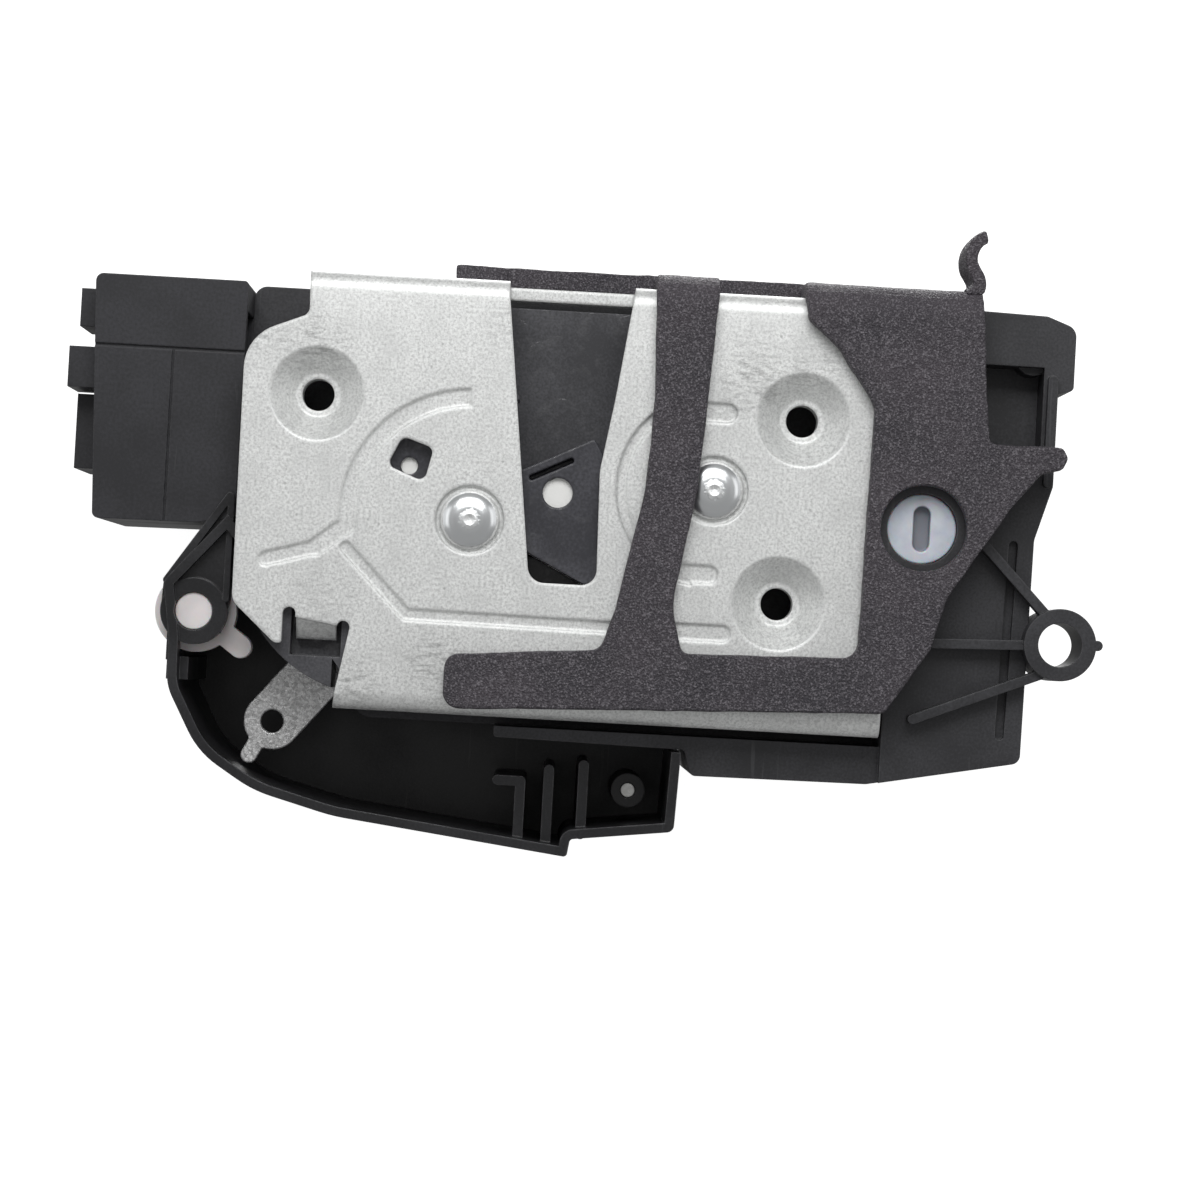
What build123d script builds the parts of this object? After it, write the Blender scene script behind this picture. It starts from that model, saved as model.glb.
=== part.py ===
"""Door latch actuator of a car: rotary-claw latch, electric lock actuator and its housings.

Units are millimetres. X runs along the latch plate, Z is up, and Y runs into the depth of the door.
The origin is the axis of the striker when it is latched, at the outer face of the latch plate.
"""

from build123d import *
import math
import os

# ---------------------------------------------------------------- depth of each layer
plate_thick = 2.0
flange_reach = 16.0
bottom_flange_reach = 13.0
foam_thick = 2.8
side_play = 0.5
claw_thick = 7.0
skin_thick = 1.0
floor_thick = 4.9
channel_floor = 1.0
back_plate_thick = 2.0
lever_play = 0.8
lever_thick = 2.0
case_play = 2.0
case_wall = 2.0
case_inner_depth = 23.0
seal_thick = 0.8
cover_thick = 2.5
running_fit = 0.05
free_gap = 0.3
bed_gap = 0.2
easy_gap = 0.6

claw_front = plate_thick + side_play
claw_back = claw_front + claw_thick
pocket_floor = claw_back + side_play
housing_back = pocket_floor + floor_thick
channel_back = housing_back - channel_floor
back_plate_back = housing_back + back_plate_thick
lever_front = back_plate_back + lever_play
lever_back = lever_front + lever_thick
case_front = lever_back + case_play
case_inside = case_front + case_wall
case_rim = case_inside + case_inner_depth
cover_front = case_rim + seal_thick
cover_back = cover_front + cover_thick

# ---------------------------------------------------------------- latch plate, as seen from outside
plate_top = 40.4
plate_bottom = -27.0
plate_right = 50.4
plate_side = 47.6
plate_left = -50.4
bend_radius = 3.0
plate_outline = [
    (-41.0, plate_top + 1, 0),
    (-40.7, 33.4, 1.5),
    (plate_left, 29.4, 7.0),
    (plate_left + 0.2, -11.3, 3.0),
    (-43.4, -17.4, 1.0),
    (-42.3, -17.4, 0.4),
    (-42.3, -13.0, 0),
    (-31.9, -14.6, 0),
    (-33.7, -24.7, 1.0),
    (-34.1, plate_bottom - 1, 0),
    (plate_right, plate_bottom - 1, 0),
    (plate_right, -20.0, 1.5),
    (plate_side, -17.6, 1.5),
    (plate_side, 25.6, 6.0),
    (44.6, 30.8, 4.0),
    (36.6, 36.8, 1.2),
    (36.0, plate_top + 1, 0),
]
slit_width = 2.0
slits = [((-41.3, -12.8), (-41.3, -16.0)), ((-32.9, -14.5), (-33.43, -17.5))]
tab_left, tab_right = -40.2, -34.0
tab_root, tab_end, tab_drop = -12.6, -16.6, 3.0
tab_side_room, tab_end_room = 0.8, 2.5
mouth_outline = [
    (-10.4, plate_top + 4, 0),
    (-10.1, 38.0, 0),
    (-4.8, -6.0, 2.6),
    (5.6, -6.0, 2.4),
    (5.2, 11.8, 8.0),
    (7.0, 23.0, 30.0),
    (9.8, plate_top + 4, 0),
]
mouth_flange_depth = 13.0
mouth_margin = 0.6
window_outline = [(-25.4, 15.4, 1.2), (-20.5, 13.8, 1.2), (-21.7, 8.5, 1.2), (-27.6, 10.8, 1.2)]

screw_holes = {"left": (-38.9, 21.2), "upper_right": (36.1, 21.3), "lower_right": (33.7, -7.2)}
thread_radius = 2.5
dimple_radius = 7.25
dimple_depth = 3.6
dimple_seat_radius = 3.4
collar_radius = 4.4
collar_back = 8.0
dimple_room = 0.6
dimple_depth_room = 2.6

emboss_depth = 0.4
emboss_taper = 35
emboss_width = 2.9
claw_band_radius = 18.8
pawl_ring_radius, pawl_ring_half = 14.3, 0.9

# ---------------------------------------------------------------- claw and pawl
claw_pivot = (-14.4, 3.1)
pawl_pivot = (22.9, 9.7)
rivet_radius = 3.5
tenon_radius = 2.75
rivet_head_radius = 4.1
rivet_head_height = 1.3
rivet_tail_height = 0.5
coin_inner, coin_outer, coin_depth = 4.5, 5.3, 0.25

claw_rest_angle = 26.1
claw_arm_radius = 23.0
claw_side_radius = 18.2
claw_arm_edge = -52.6
claw_hub_radius = 9.0
mouth_low, mouth_width = 4.1, 10.0
mouth_end = 11.4
hook_length, hook_height = 14.5, 5.4
core_inset = 1.2
claw_room = 1.6
side_room = 0.4
room_start, room_end = -104.0, 130.0
slit_depth_below, slit_half, slit_depth = 1.7, 0.4, 3.0
slit_start, slit_end, slit_wall = 11.4, 18.0, 0.85
sight_hole, sight_hole_radius = (-1.1, 8.1), 2.3
second_sight_hole, second_sight_radius = (-24.2, 11.0), 1.3

pawl_open_angle = 7.0
pawl_hub_radius = 7.5
pawl_outline = [
    (1.7, -9.2, 0.6),
    (4.5, -12.5, 1.0),
    (8.5, -14.5, 3.0),
    (14.5, -10.5, 4.0),
    (26.5, 2.5, 0),
    (17.5, 11.0, 0),
    (14.0, 3.0, 3.0),
    (9.5, -3.0, 3.0),
    (6.6, -7.2, 1.0),
    (4.2, -7.2, 0.6),
]
pawl_room = 1.2
pawl_nose_centre, pawl_nose_size = (0, -12), (12.4, 12)
lift_pin_wall = 1.8
lift_pin_place, lift_pin_radius = (13.5, -4.5), 2.0
lift_end, lift_half_width = (-3.4, -9.6), 3.0

bumper_outline = [(-5.0, -6.2, 0), (3.6, -6.2, 0.5), (3.6, -4.9, 0.5), (-5.4, -1.6, 0.5)]
bumper_ridge, bumper_ridges = 0.55, 6
bumper_start, bumper_end, bumper_bed = (-4.6, -1.9), (3.0, -4.7), 0.1

spring_wire = 0.55
torsion_coil, torsion_turns, torsion_pitch = 4.9, 2, 1.35
torsion_leg = 4.0
torsion_start = {"claw": 205, "pawl": 20}
spring_groove_half, spring_groove_depth = 1.2, 0.6
peg_radius = 1.1
pin_head_thick = 0.8
hook_wire = 0.3
extension_coil = 0.95
spring_lift = 0.4

switch_size = (10.0, 5.6)
switch_plunger = 1.2
switch_travel = 1.0
ajar_switch_place = (-37.6, -3.4)
switch_mouth_depth, switch_slot_low, switch_slot_high = 2.0, 2.0, 4.5
switch_run = 9.0

# ---------------------------------------------------------------- latch housing and back plate
release_pivot = (-28.0, -3.0)
guide_radius = 21.8
guide_middle, guide_size = (-44.4, -14), (20, 24)
housing_inset = 1.9
housing_right = 47.0
bend_room = 1.1
housing_bottom = plate_bottom + plate_thick + bend_room
housing_top = plate_top - plate_thick - bend_room
back_plate_outline = [
    (-35.0, 35.0, 3.0),
    (33.0, 35.0, 3.0),
    (46.0, 24.0, 4.0),
    (46.0, -22.5, 3.0),
    (-24.0, -22.5, 3.0),
    (-36.0, -11.0, 5.0),
]
screw_room = 4.4

# ---------------------------------------------------------------- levers between latch and case
release_hub, release_pin_radius, release_head_radius = 7.0, 2.5, 4.0
blade_start, blade_end, blade_half = (-33.5, -16.9), (-44.2, -29.9), 4.5
rod_hole_radius = 1.8
tail_start, tail_end, tail_half = (-46.2, -32.6), (-47.6, -35.4), 1.3
release_arm_end, release_arm_half = (-8.1, 4.4), 2.8
release_spring_hook, release_spring_peg = (-25.5, 3.0), (-33.0, 14.0)
inside_pivot, inside_hub = (26.0, -16.0), 6.0
inside_arm_end, inside_cable_end, inside_half = (11.5, -17.5), (40.0, -18.5), 3.0
inside_spring_hook, inside_spring_peg = (34.5, -16.2), (40.8, -4.0)
cable_hole_radius = 1.5

key_pivot = (-56.6, -13.2)
key_pin_radius, key_boss_radius, key_disc_radius = 2.9, 5.2, 6.4
key_front, key_disc_front, key_disc_thick = 7.6, 11.2, 3.0
key_arm_end, key_arm_half = (-49.4, -18.4), 1.8

# ---------------------------------------------------------------- actuator case, cover and connector
case_outline = [
    (-51.0, 39.2, 2.0),
    (61.5, 39.2, 0.5),
    (62.9, 40.3, 1.0),
    (73.7, 40.0, 1.0),
    (78.3, 38.3, 2.0),
    (78.3, 28.6, 0.8),
    (75.9, 28.0, 0.4),
    (75.9, 13.5, 2.0),
    (73.4, 5.0, 3.0),
    (73.0, -29.8, 1.5),
    (49.4, -34.4, 4.0),
    (22.0, -34.6, 1.0),
    (20.4, -28.5, 1.0),
    (-30.0, -28.5, 3.0),
    (-47.0, -13.0, 4.0),
    (-51.0, -9.0, 2.0),
]
right_block_left = 51.2
bed = 0.5
right_face = 6.0
platform_outline = [
    (right_block_left, 36.9, 0),
    (62.0, 36.9, 0.5),
    (63.5, 18.0, 1.0),
    (74.0, 18.0, 1.0),
    (72.2, 15.6, 0.5),
    (67.5, 9.2, 0),
    (58.6, -5.4, 3.0),
    (56.6, -13.3, 3.0),
    (right_block_left, -21.6, 0),
]
wall_rib, wall_rib_height = ((74.9, 30.0), (74.9, 14.0)), 1.6
side_pocket, pocket_wall, pocket_floor_depth = (63.6, 73.6, 19.0, 32.0), 1.4, 13.0
face_groove, groove_half, groove_depth = ((70.2, 4.0), (69.6, -25.6)), 0.7, 1.3
face_ribs = [((65.6, 3.6), (75.2, -6.2)), ((58.4, -11.9), (72.6, -11.4)), ((55.7, -23.8), (75.0, -15.9))]
rib_half, rib_height = 0.75, 3.0
side_mount, side_mount_outer, side_mount_bore = (77.8, -11.1), 5.6, 3.4
side_mount_front, side_mount_back = 2.0, 14.0
nib_end, nib_half, nib_thick = (83.6, -10.9), 0.8, 4.0
lower_rail = [
    (-9.0, -28.5, 0),
    (50.6, -28.5, 0),
    (73.0, -26.0, 0),
    (73.0, -29.8, 1.0),
    (49.4, -34.4, 3.0),
    (22.0, -34.6, 1.0),
    (20.8, -30.6, 0.5),
    (-9.0, -30.2, 0.5),
]
lower_rail_front = 8.0
cover_screw_places = [(-45.6, 31.6), (4.0, 31.6), (50.2, 31.6), (72.0, 33.6), (67.0, -25.0), (30.0, -28.0),
                      (-24.0, -21.8), (-44.0, -8.6)]
screw_boss, screw_core, screw_depth = 2.8, 1.2, 12.0
screw_head_radius, screw_head_height = 2.6, 1.8
drive_radius, drive_depth = 1.2, 1.0
motor_bulge, bulge_height = [(9.0, 35.0, 2.0), (46.8, 35.0, 2.0), (46.8, 11.5, 2.0), (9.0, 11.5, 2.0)], 2.0
gear_bulge_radius = 13.5
bulge_ribs, bulge_rib_low, bulge_rib_high, bulge_rib_height = (20.0, 28.5, 37.0), 13.0, 33.5, 0.8
cover_ribs = ((-40.0, -20.0, 20.0), (-40.0, -20.0, 12.0), (12.0, 60.0, -6.0), (12.0, 60.0, -16.0))
cover_rib_half, cover_rib_height = 0.6, 1.2

knob_centre, knob_radius, knob_front = (55.3, 5.6), 5.4, 1.2
knob_slot_width, knob_slot_length, knob_slot_depth = 2.6, 7.0, 1.8
collar_wall = 1.4
cam_reach, cam_half, cam_thick = 9.5, 1.8, 2.6
knob_head, knob_shaft_radius = 3.8, 3.2

shroud_left, shroud_right = -74.2, -51.0
shroud_outline = [
    (-74.8, 38.6, 1.2),
    (shroud_right, 38.6, 0.6),
    (shroud_right, 1.6, 0.6),
    (-57.0, 0.6, 0.5),
    (-73.3, 0.4, 1.0),
]
shroud_front, shroud_back, shroud_wall = 8.0, 48.0, 2.0
shroud_left_wall, hollow_low, hollow_high = 2.6, 4.0, 34.0
shroud_lugs = [(30.6, 36.6, 3.4, 14.0, 30.0), (20.9, 27.3, 4.6, 12.0, 26.0), (8.4, 20.2, 3.6, 18.0, 40.0)]
seam_height, seam_width, seam_depth = 27.5, 0.5, 0.4
upright_seam = (-62.3, -61.9)
socket_low, socket_high = 6.0, 33.0
socket_round, insert_inset = 3.0, 2.0
insert_thick, pin_reach = 4.2, 17.0
pin_width, pin_thick = 1.6, 0.8
pin_columns = (-66.5, -59.5)
track_start = 1.5
track_heights = (10.4, 13.6, 16.8, 20.0, 23.2)
track_ends = (-38.5, -38.5, 47.4, 47.4, -38.5)
track_thick = 0.8
window_room, window_depth = 2.0, 2.0

# ---------------------------------------------------------------- lock drive inside the case
gear_centre = (-4.0, 9.5)
gear_module, gear_teeth = 0.7, 30
gear_middle, gear_width = case_inside + 12.0, 3.0
gear_axle_radius, gear_hub_radius = 2.0, 4.0
gear_hub_height = 2.5
worm_outer, worm_root, tooth_half = 4.0, 2.6, 0.40
worm_backlash = 0.1
flank_angle = 20.0
worm_threads_left, worm_threads_right = 4, 3
thread_sunk, worm_end = 0.3, 1.6
tooth_root, tooth_tip = 0.9, 0.55
shaft_radius = 1.0
motor_left, motor_right, motor_radius, motor_flat = 12.0, 43.0, 10.0, 8.5
motor_boss_reach, motor_boss_radius = 1.8, 3.0
end_cap_length = 3.0
cap_step, cap_bearing_depth, shaft_past = 0.4, 1.5, 1.2
contact_places, contact_half, contact_reach, contact_thick = (-5.0, 5.0), 1.2, 2.5, 0.4
bearing_post = -17.0
bearing_half, bearing_low, bearing_high, bearing_back = 1.2, 2.2, 2.6, 3.0
saddle_inset, saddle_half, saddle_low, saddle_height = 4.0, 1.0, 1.6, 2.2
crank_radius, crank_pin_radius = 6.0, 1.2
gear_turn = 60.0
crank_play = 0.25
link_front, link_thick = case_inside + 7.0, 2.0
link_left, link_right, link_height = -36.0, 20.0, 7.4
link_trim, guide_rail, link_rail_ends, link_rail_gap = 0.9, 1.8, 4.0, (-14.0, 6.0)
link_posts, link_post_half = (-34.0, -12.0, 14.0), 0.8
finger_left, finger_right = -21.5, -18.5
finger_half_height = 2.0
switch_left, switch_right, switch_plunger_reach = -48.8, -44.6, 2.2
lock_switch_half, lock_switch_height, lock_switch_mouth, plunger_step = 4.4, 4.0, 1.6, 0.4

# ---------------------------------------------------------------- guard tray below
tray_outline = [
    (-52.0, 2.0, 0),
    (-61.4, -8.8, 2.0),
    (-60.2, -17.0, 3.0),
    (-60.0, -25.0, 8.0),
    (-54.6, -35.0, 14.0),
    (-45.8, -40.5, 20.0),
    (-33.3, -43.8, 30.0),
    (3.4, -48.2, 0.6),
    (3.8, -45.4, 0.6),
    (19.8, -43.4, 1.2),
    (20.4, -28.6, 0),
    (-40.0, -12.0, 0),
]
tray_front, tray_back, tray_wall = 6.0, 44.0, 1.5
tray_floor, tray_rib_half, tray_rib_sunk = 2.0, 0.8, 6.0
tray_opening = [(-58.8, -15.6, 0), (-50.0, -8.0, 0), (-44.0, 0.0, 0), (22.0, 0.0, 0), (22.0, -31.0, 0),
                (18.9, -31.0, 0), (-33.0, -31.0, 0), (-50.0, -13.0, 0)]
gusset_outline = [(-51.2, 6.4, 0.5), (-61.6, -8.8, 1.0), (-61.8, -13.2, 0), (-52.4, -16.5, 0), (-51.1,
                  -11.3, 0.5)]
gusset_front, gusset_thick = 8.2, 2.0
gusset_rim = [((-51.9, 5.0), (-61.0, -8.6), 0.6), ((-51.7, 5.0), (-51.7, -11.0), 0.5)]
gusset_rim_height, boss_step = 1.2, 0.4
gusset_foot, gusset_wall = (-60.6, -57.2, -24.0, -20.4), (-60.6, -59.6, -21.0, -12.0)
key_swing_middle, key_swing_size = (-40, -15), (32, 34)
tray_ribs = [((-4.4, -45.6), (-4.4, -37.0)), ((0.0, -46.2), (0.0, -35.0)), ((5.4, -44.8), (5.4, -34.0)),
             ((-4.4, -37.0), (-8.0, -37.0))]
tray_screw_place = (12.7, -37.8)
tray_boss, tray_boss_front = 2.7, 20.0

# ---------------------------------------------------------------- foam gasket
band_left, band_right = 12.4, 22.1
flap_left, flap_right = 35.4, 62.8
foam_outline = [
    (-16.9, -17.7, 2.0),
    (-17.0, -26.0, 2.4),
    (50.6, -23.2, 1.5),
    (57.4, -13.0, 2.0),
    (59.3, -5.2, 2.0),
    (68.5, 9.2, 0),
    (72.8, 14.9, 1.0),
    (76.2, 15.8, 0.8),
    (77.0, 17.6, 0.8),
    (76.0, 19.2, 0.8),
    (64.6, 19.0, 1.0),
    (flap_right, plate_top, 0),
    (flap_left, plate_top, 0),
    (35.9, 36.7, 0.8),
    (41.0, 32.3, 1.0),
    (46.8, 24.0, 5.0),
    (46.2, -14.9, 2.5),
    (19.2, -15.7, 1.5),
    (17.3, -8.0, 12.0),
    (20.4, 9.6, 40.0),
    (band_right, plate_top, 0),
    (band_left, plate_top, 0),
    (13.0, 23.1, 30.0),
    (12.3, 9.2, 40.0),
    (8.7, -9.5, 10.0),
    (6.7, -15.8, 2.0),
]
foam_wrap = 2.4
foam_strip_left, foam_strip_height = -18.9, 3.2
knob_window = 6.6
tail_points = [(60.4, 42.2), (62.2, 44.6), (60.9, 47.2), (61.0, 49.6), (63.0, 51.4)]
tail_thick, tail_depth = 1.9, 12.0



# ================================================================ drawing helpers
def place(point, angle=0.0):
    """Where a sketch drawn about (0, 0) goes in the (x, z) drawing, turned anticlockwise by angle."""
    return Location((point[0], point[1], 0), (0, 0, angle))


def outline(corners):
    """A face in the (x, z) drawing from corners given as (x, z, corner radius)."""
    points = [(x, z) for x, z, _ in corners]
    radii = [r for _, _, r in corners]
    return make_face(FilletPolyline(*points, radius=radii, close=True))


def slab(face, front, back):
    """A solid from a face of the (x, z) drawing, reaching from depth front to depth back."""
    return extrude(Plane.XZ.offset(-back) * face, amount=back - front, dir=(0, -1, 0))


def disc(point, radius):
    return place(point) * Circle(radius)


def post(point, radius, front, back):
    """A round bar along Y."""
    return slab(disc(point, radius), front, back)


def block(x0, x1, z0, z1, front, back):
    """A box between two corners of the drawing and two depths."""
    middle = ((x0 + x1) / 2, (z0 + z1) / 2)
    return slab(place(middle) * Rectangle(x1 - x0, z1 - z0), front, back)


def strip(a, b, half):
    """A face with round ends about the straight line from a to b."""
    length = math.dist(a, b)
    angle = math.degrees(math.atan2(b[1] - a[1], b[0] - a[0]))
    middle = ((a[0] + b[0]) / 2, (a[1] + b[1]) / 2)
    return place(middle, angle) * SlotOverall(length + 2 * half, 2 * half)


def sector(radius, start, end):
    """A pie slice about (0, 0) from angle start to angle end, in degrees."""
    rim = CenterArc((0, 0), radius, start, end - start)
    return make_face(Curve() + [Line((0, 0), rim @ 0), rim, Line(rim @ 1, (0, 0))])


def turned(point, profile):
    """A solid of revolution about the line along Y through point, from (radius, depth) corners."""
    section = Pos(point[0], 0, point[1]) * make_face(Polyline(*profile, close=True))
    return revolve(section, Axis((point[0], 0, point[1]), (0, 1, 0)))


def spin(shape, point, angle):
    """The shape turned anticlockwise, as seen from outside, about the line along Y through point."""
    return shape.rotate(Axis((point[0], 0, point[1]), (0, 1, 0)), -angle)


def about(point, centre, angle):
    """A point of the drawing turned anticlockwise about a centre."""
    c, s = math.cos(math.radians(angle)), math.sin(math.radians(angle))
    x, z = point[0] - centre[0], point[1] - centre[1]
    return (centre[0] + x * c - z * s, centre[1] + x * s + z * c)


def rod(start, end, radius):
    """A straight round wire between two points in space."""
    run = Vector(*end) - Vector(*start)
    return extrude(Plane(origin=start, z_dir=run) * Circle(radius), amount=run.length)


def coil(origin, x_dir, z_dir, pitch, turns, radius, wire):
    """A helical wire that starts at radius along x_dir and advances along z_dir."""
    path = Helix(pitch, pitch * turns, radius)
    section = Plane(origin=path @ 0, z_dir=path % 0) * Circle(wire)
    return Plane(origin=origin, x_dir=x_dir, z_dir=z_dir) * sweep(section, path=path, is_frenet=True)


def torsion_spring(point, front, angle):
    """A coil about a rivet with a straight leg at each end, both pointing outwards at angle."""
    wire_middle = front + spring_wire
    outward = (math.cos(math.radians(angle)), math.sin(math.radians(angle)))
    body = coil((point[0], wire_middle, point[1]), (outward[0], 0, outward[1]), (0, 1, 0),
                torsion_pitch, torsion_turns, torsion_coil, spring_wire)
    for depth in (wire_middle, wire_middle + torsion_pitch * torsion_turns):
        foot = (point[0] + torsion_coil * outward[0], depth, point[1] + torsion_coil * outward[1])
        toe = (foot[0] + torsion_leg * outward[0], depth, foot[2] + torsion_leg * outward[1])
        body += rod(foot, toe, spring_wire)
    return body


def extension_spring(a, b, depth):
    """A close coil between two pegs along Y, with a wire ring round each peg."""
    ring_radius = peg_radius + hook_wire + running_fit
    length = math.dist(a, b)
    along = ((b[0] - a[0]) / length, (b[1] - a[1]) / length)
    lead = ring_radius + 2 * hook_wire
    pitch = 3.2 * hook_wire
    turns = int((length - 2 * lead) / pitch)
    coil_length = turns * pitch
    first = (length - coil_length) / 2
    start = (a[0] + along[0] * first, depth, a[1] + along[1] * first)
    side = (-along[1], 0, along[0])
    body = coil(start, side, (along[0], 0, along[1]), pitch, turns, extension_coil, hook_wire)
    for peg, sign in ((a, 1), (b, -1)):
        ring = Plane(origin=(peg[0], depth, peg[1]), z_dir=(0, 1, 0)) * Torus(ring_radius, hook_wire)
        near = (peg[0] + sign * along[0] * ring_radius, depth, peg[1] + sign * along[1] * ring_radius)
        reach = first + 0.1 if sign > 0 else length - first - 0.1
        far = (a[0] + along[0] * reach + side[0] * extension_coil, depth,
               a[1] + along[1] * reach + side[2] * extension_coil)
        body += ring + rod(near, far, hook_wire)
    return body


# ================================================================ latch plate and rivets
def mouth(grow=0.0):
    """The striker's way in, drawn; grow widens it on every side."""
    face = outline(mouth_outline)
    return offset(face, amount=grow) if grow else face


def emboss(face):
    """A shallow pressed recess in the front face, with sloping sides."""
    top = Plane.XZ * face
    return extrude(top, amount=emboss_depth, dir=(0, 1, 0), taper=emboss_taper)


def emboss_faces():
    """The pressed bands: one round the claw, half a ring by the pawl rivet and five straight ones."""
    band = sector(claw_band_radius + emboss_width / 2, 92, 186)
    band -= Circle(claw_band_radius - emboss_width / 2)
    left = place(claw_pivot) * band
    tail = strip((-33.2, 1.2), (-37.8, -2.4), emboss_width / 2) + strip((-37.8, -2.4), (-45.4, -4.6), 1.2)
    ring = place(pawl_pivot) * sector(pawl_ring_radius + pawl_ring_half, 100, 260)
    ring -= disc(pawl_pivot, pawl_ring_radius - pawl_ring_half)
    ends = [strip((20.0, 21.7), (24.4, 21.7), 1.6), strip((18.0, -3.3), (22.8, -3.3), 1.5),
            strip((10.0, -12.3), (25.4, -12.3), 1.4), strip((-23.4, -12.0), (10.0, -12.3), 1.0),
            strip((-33.2, -2.2), (-23.4, -12.0), 1.0)]
    return [left, tail, ring] + ends


def dimple(point):
    """A conical seat pressed inwards, ending in a threaded collar."""
    profile = [(dimple_radius, 0), (dimple_seat_radius, dimple_depth), (thread_radius, dimple_depth),
               (thread_radius, collar_back), (collar_radius, collar_back),
               (collar_radius, dimple_depth + plate_thick), (dimple_radius, plate_thick)]
    return turned(point, profile)


def latch_plate():
    """Pressed steel plate with a top and a bottom flange."""
    height = plate_top - plate_bottom
    middle = (plate_top + plate_bottom) / 2
    outer = Pos(flange_reach / 2, middle) * Rectangle(flange_reach, height)
    inner = Pos(plate_thick + flange_reach / 2, middle) * Rectangle(flange_reach, height - 2 * plate_thick)
    section = outer - inner
    section = fillet(section.vertices().filter_by(lambda v: v.X < 0.1), bend_radius)
    section = fillet(section.vertices().filter_by(lambda v: abs(v.X - plate_thick) < 0.1), 1.0)
    shell = extrude(Plane.YZ.offset(plate_left - 5) * section, amount=plate_right - plate_left + 10)
    body = shell & slab(outline(plate_outline), -1, flange_reach + 1)
    body -= block(plate_left, plate_right + 1, plate_bottom - 1, 0, bottom_flange_reach, flange_reach + 1)
    for a, b in slits:
        body -= slab(strip(a, b, slit_width / 2), -1, plate_thick + 1)
    tab = make_face(Polyline((0, tab_root), (plate_thick, tab_root), (plate_thick + tab_drop, tab_end + 1.0),
                             (tab_drop + 0.6, tab_end), close=True))
    body += extrude(Plane.YZ.offset(tab_left) * tab, amount=tab_right - tab_left)
    body -= slab(mouth(), -1, mouth_flange_depth)
    body -= slab(outline(window_outline), -1, plate_thick + 1)
    for face in emboss_faces():
        body -= emboss(face)
    for point in screw_holes.values():
        body -= post(point, dimple_radius, -1, plate_thick + 1)
        body += dimple(point)
    for point in (claw_pivot, pawl_pivot):
        body -= slab(disc(point, coin_outer) - disc(point, coin_inner), -1, coin_depth + emboss_depth)
        body -= post(point, tenon_radius, -1, plate_thick + 1)
    return body


def rivet(point, tail_start_depth):
    """A shouldered rivet: domed head outside, shoulder that carries the hub, spun tail inside."""
    r, h = rivet_head_radius, rivet_head_height
    profile = [(0, -h + 0.35), (0.9, -h), (2.2, -h * 0.92), (3.4, -h * 0.6), (r, -0.25), (r, 0),
               (tenon_radius, 0), (tenon_radius, plate_thick), (rivet_radius, plate_thick),
               (rivet_radius, housing_back), (tenon_radius, housing_back),
               (tenon_radius, tail_start_depth), (r, tail_start_depth),
               (r, tail_start_depth + rivet_tail_height * 0.6),
               (0.8 * r, tail_start_depth + rivet_tail_height),
               (0, tail_start_depth + rivet_tail_height)]
    return turned(point, profile)


# ================================================================ claw and pawl
def claw_face(inset=0.0):
    """The claw in its own drawing, with the striker's mouth opening along the first axis."""
    arm = sector(claw_arm_radius - inset, claw_arm_edge, 14)
    side = sector(claw_side_radius - inset, 0, 168)
    hook_top = mouth_low + mouth_width + hook_height - inset
    hook = outline([(-6, mouth_low, 0), (hook_length - inset, mouth_low, 0),
                    (hook_length - inset, hook_top, 1.6), (0, hook_top, 4.0), (-6, hook_top - 2.4, 0)])
    hub = Circle(claw_hub_radius - inset)
    slot = strip((mouth_end, mouth_low + mouth_width / 2), (40, mouth_low + mouth_width / 2),
                 mouth_width / 2 + inset)
    return arm + side + hook + hub - slot


def claw_slab(face, front, back):
    return slab(place(claw_pivot, claw_rest_angle) * face, front, back)


def damping_slit(half):
    """Slot beside the mouth that lets the overmoulding give when the striker lands."""
    height = mouth_low - slit_depth_below
    return strip((slit_start, height), (slit_end, height), half)


def claw_core():
    """Blanked steel claw."""
    face = claw_face(core_inset) - damping_slit(slit_half + slit_wall)
    core = claw_slab(face, claw_front + skin_thick, claw_back - skin_thick)
    return core - post(claw_pivot, rivet_radius + running_fit, 0, housing_back)


def claw_overmould(core):
    """Plastic moulded round the claw, which quietens the striker."""
    skin = claw_slab(claw_face(), claw_front, claw_back) - core
    skin -= post(claw_pivot, rivet_radius + running_fit, 0, housing_back)
    skin -= claw_slab(damping_slit(slit_half), 0, claw_front + slit_depth)
    skin -= post(sight_hole, sight_hole_radius, 0, claw_front + skin_thick)
    skin -= post(second_sight_hole, second_sight_radius, 0, claw_front + skin_thick)
    return skin


def pawl_face(inset=0.0):
    blade = outline(pawl_outline)
    if inset:
        blade = offset(blade, amount=-inset)
    return blade + disc(pawl_pivot, pawl_hub_radius - inset)


def pawl_core():
    """Blanked steel pawl, bare at its nose."""
    nose = pawl_face() & (place(pawl_nose_centre) * Rectangle(*pawl_nose_size))
    core = slab(pawl_face(core_inset) + nose, claw_front + skin_thick, claw_back - skin_thick)
    core -= post(pawl_pivot, rivet_radius + running_fit, 0, housing_back)
    core -= post(lift_pin_place, lift_pin_radius, 0, housing_back)
    return spin(core, pawl_pivot, pawl_open_angle)


def pawl_overmould(core):
    skin = spin(slab(pawl_face() - place(pawl_nose_centre) * Rectangle(*pawl_nose_size), claw_front,
                     claw_back),
                pawl_pivot, pawl_open_angle)
    pin_point = about(lift_pin_place, pawl_pivot, pawl_open_angle)
    skin -= core + post(pawl_pivot, rivet_radius + running_fit, 0, housing_back)
    return skin - post(pin_point, lift_pin_radius, 0, housing_back)


def lift_pin():
    """Steel pin that carries the pawl's motion through the housing to the lift lever."""
    point = about(lift_pin_place, pawl_pivot, pawl_open_angle)
    return post(point, lift_pin_radius, claw_front + skin_thick, lever_back)


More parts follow.
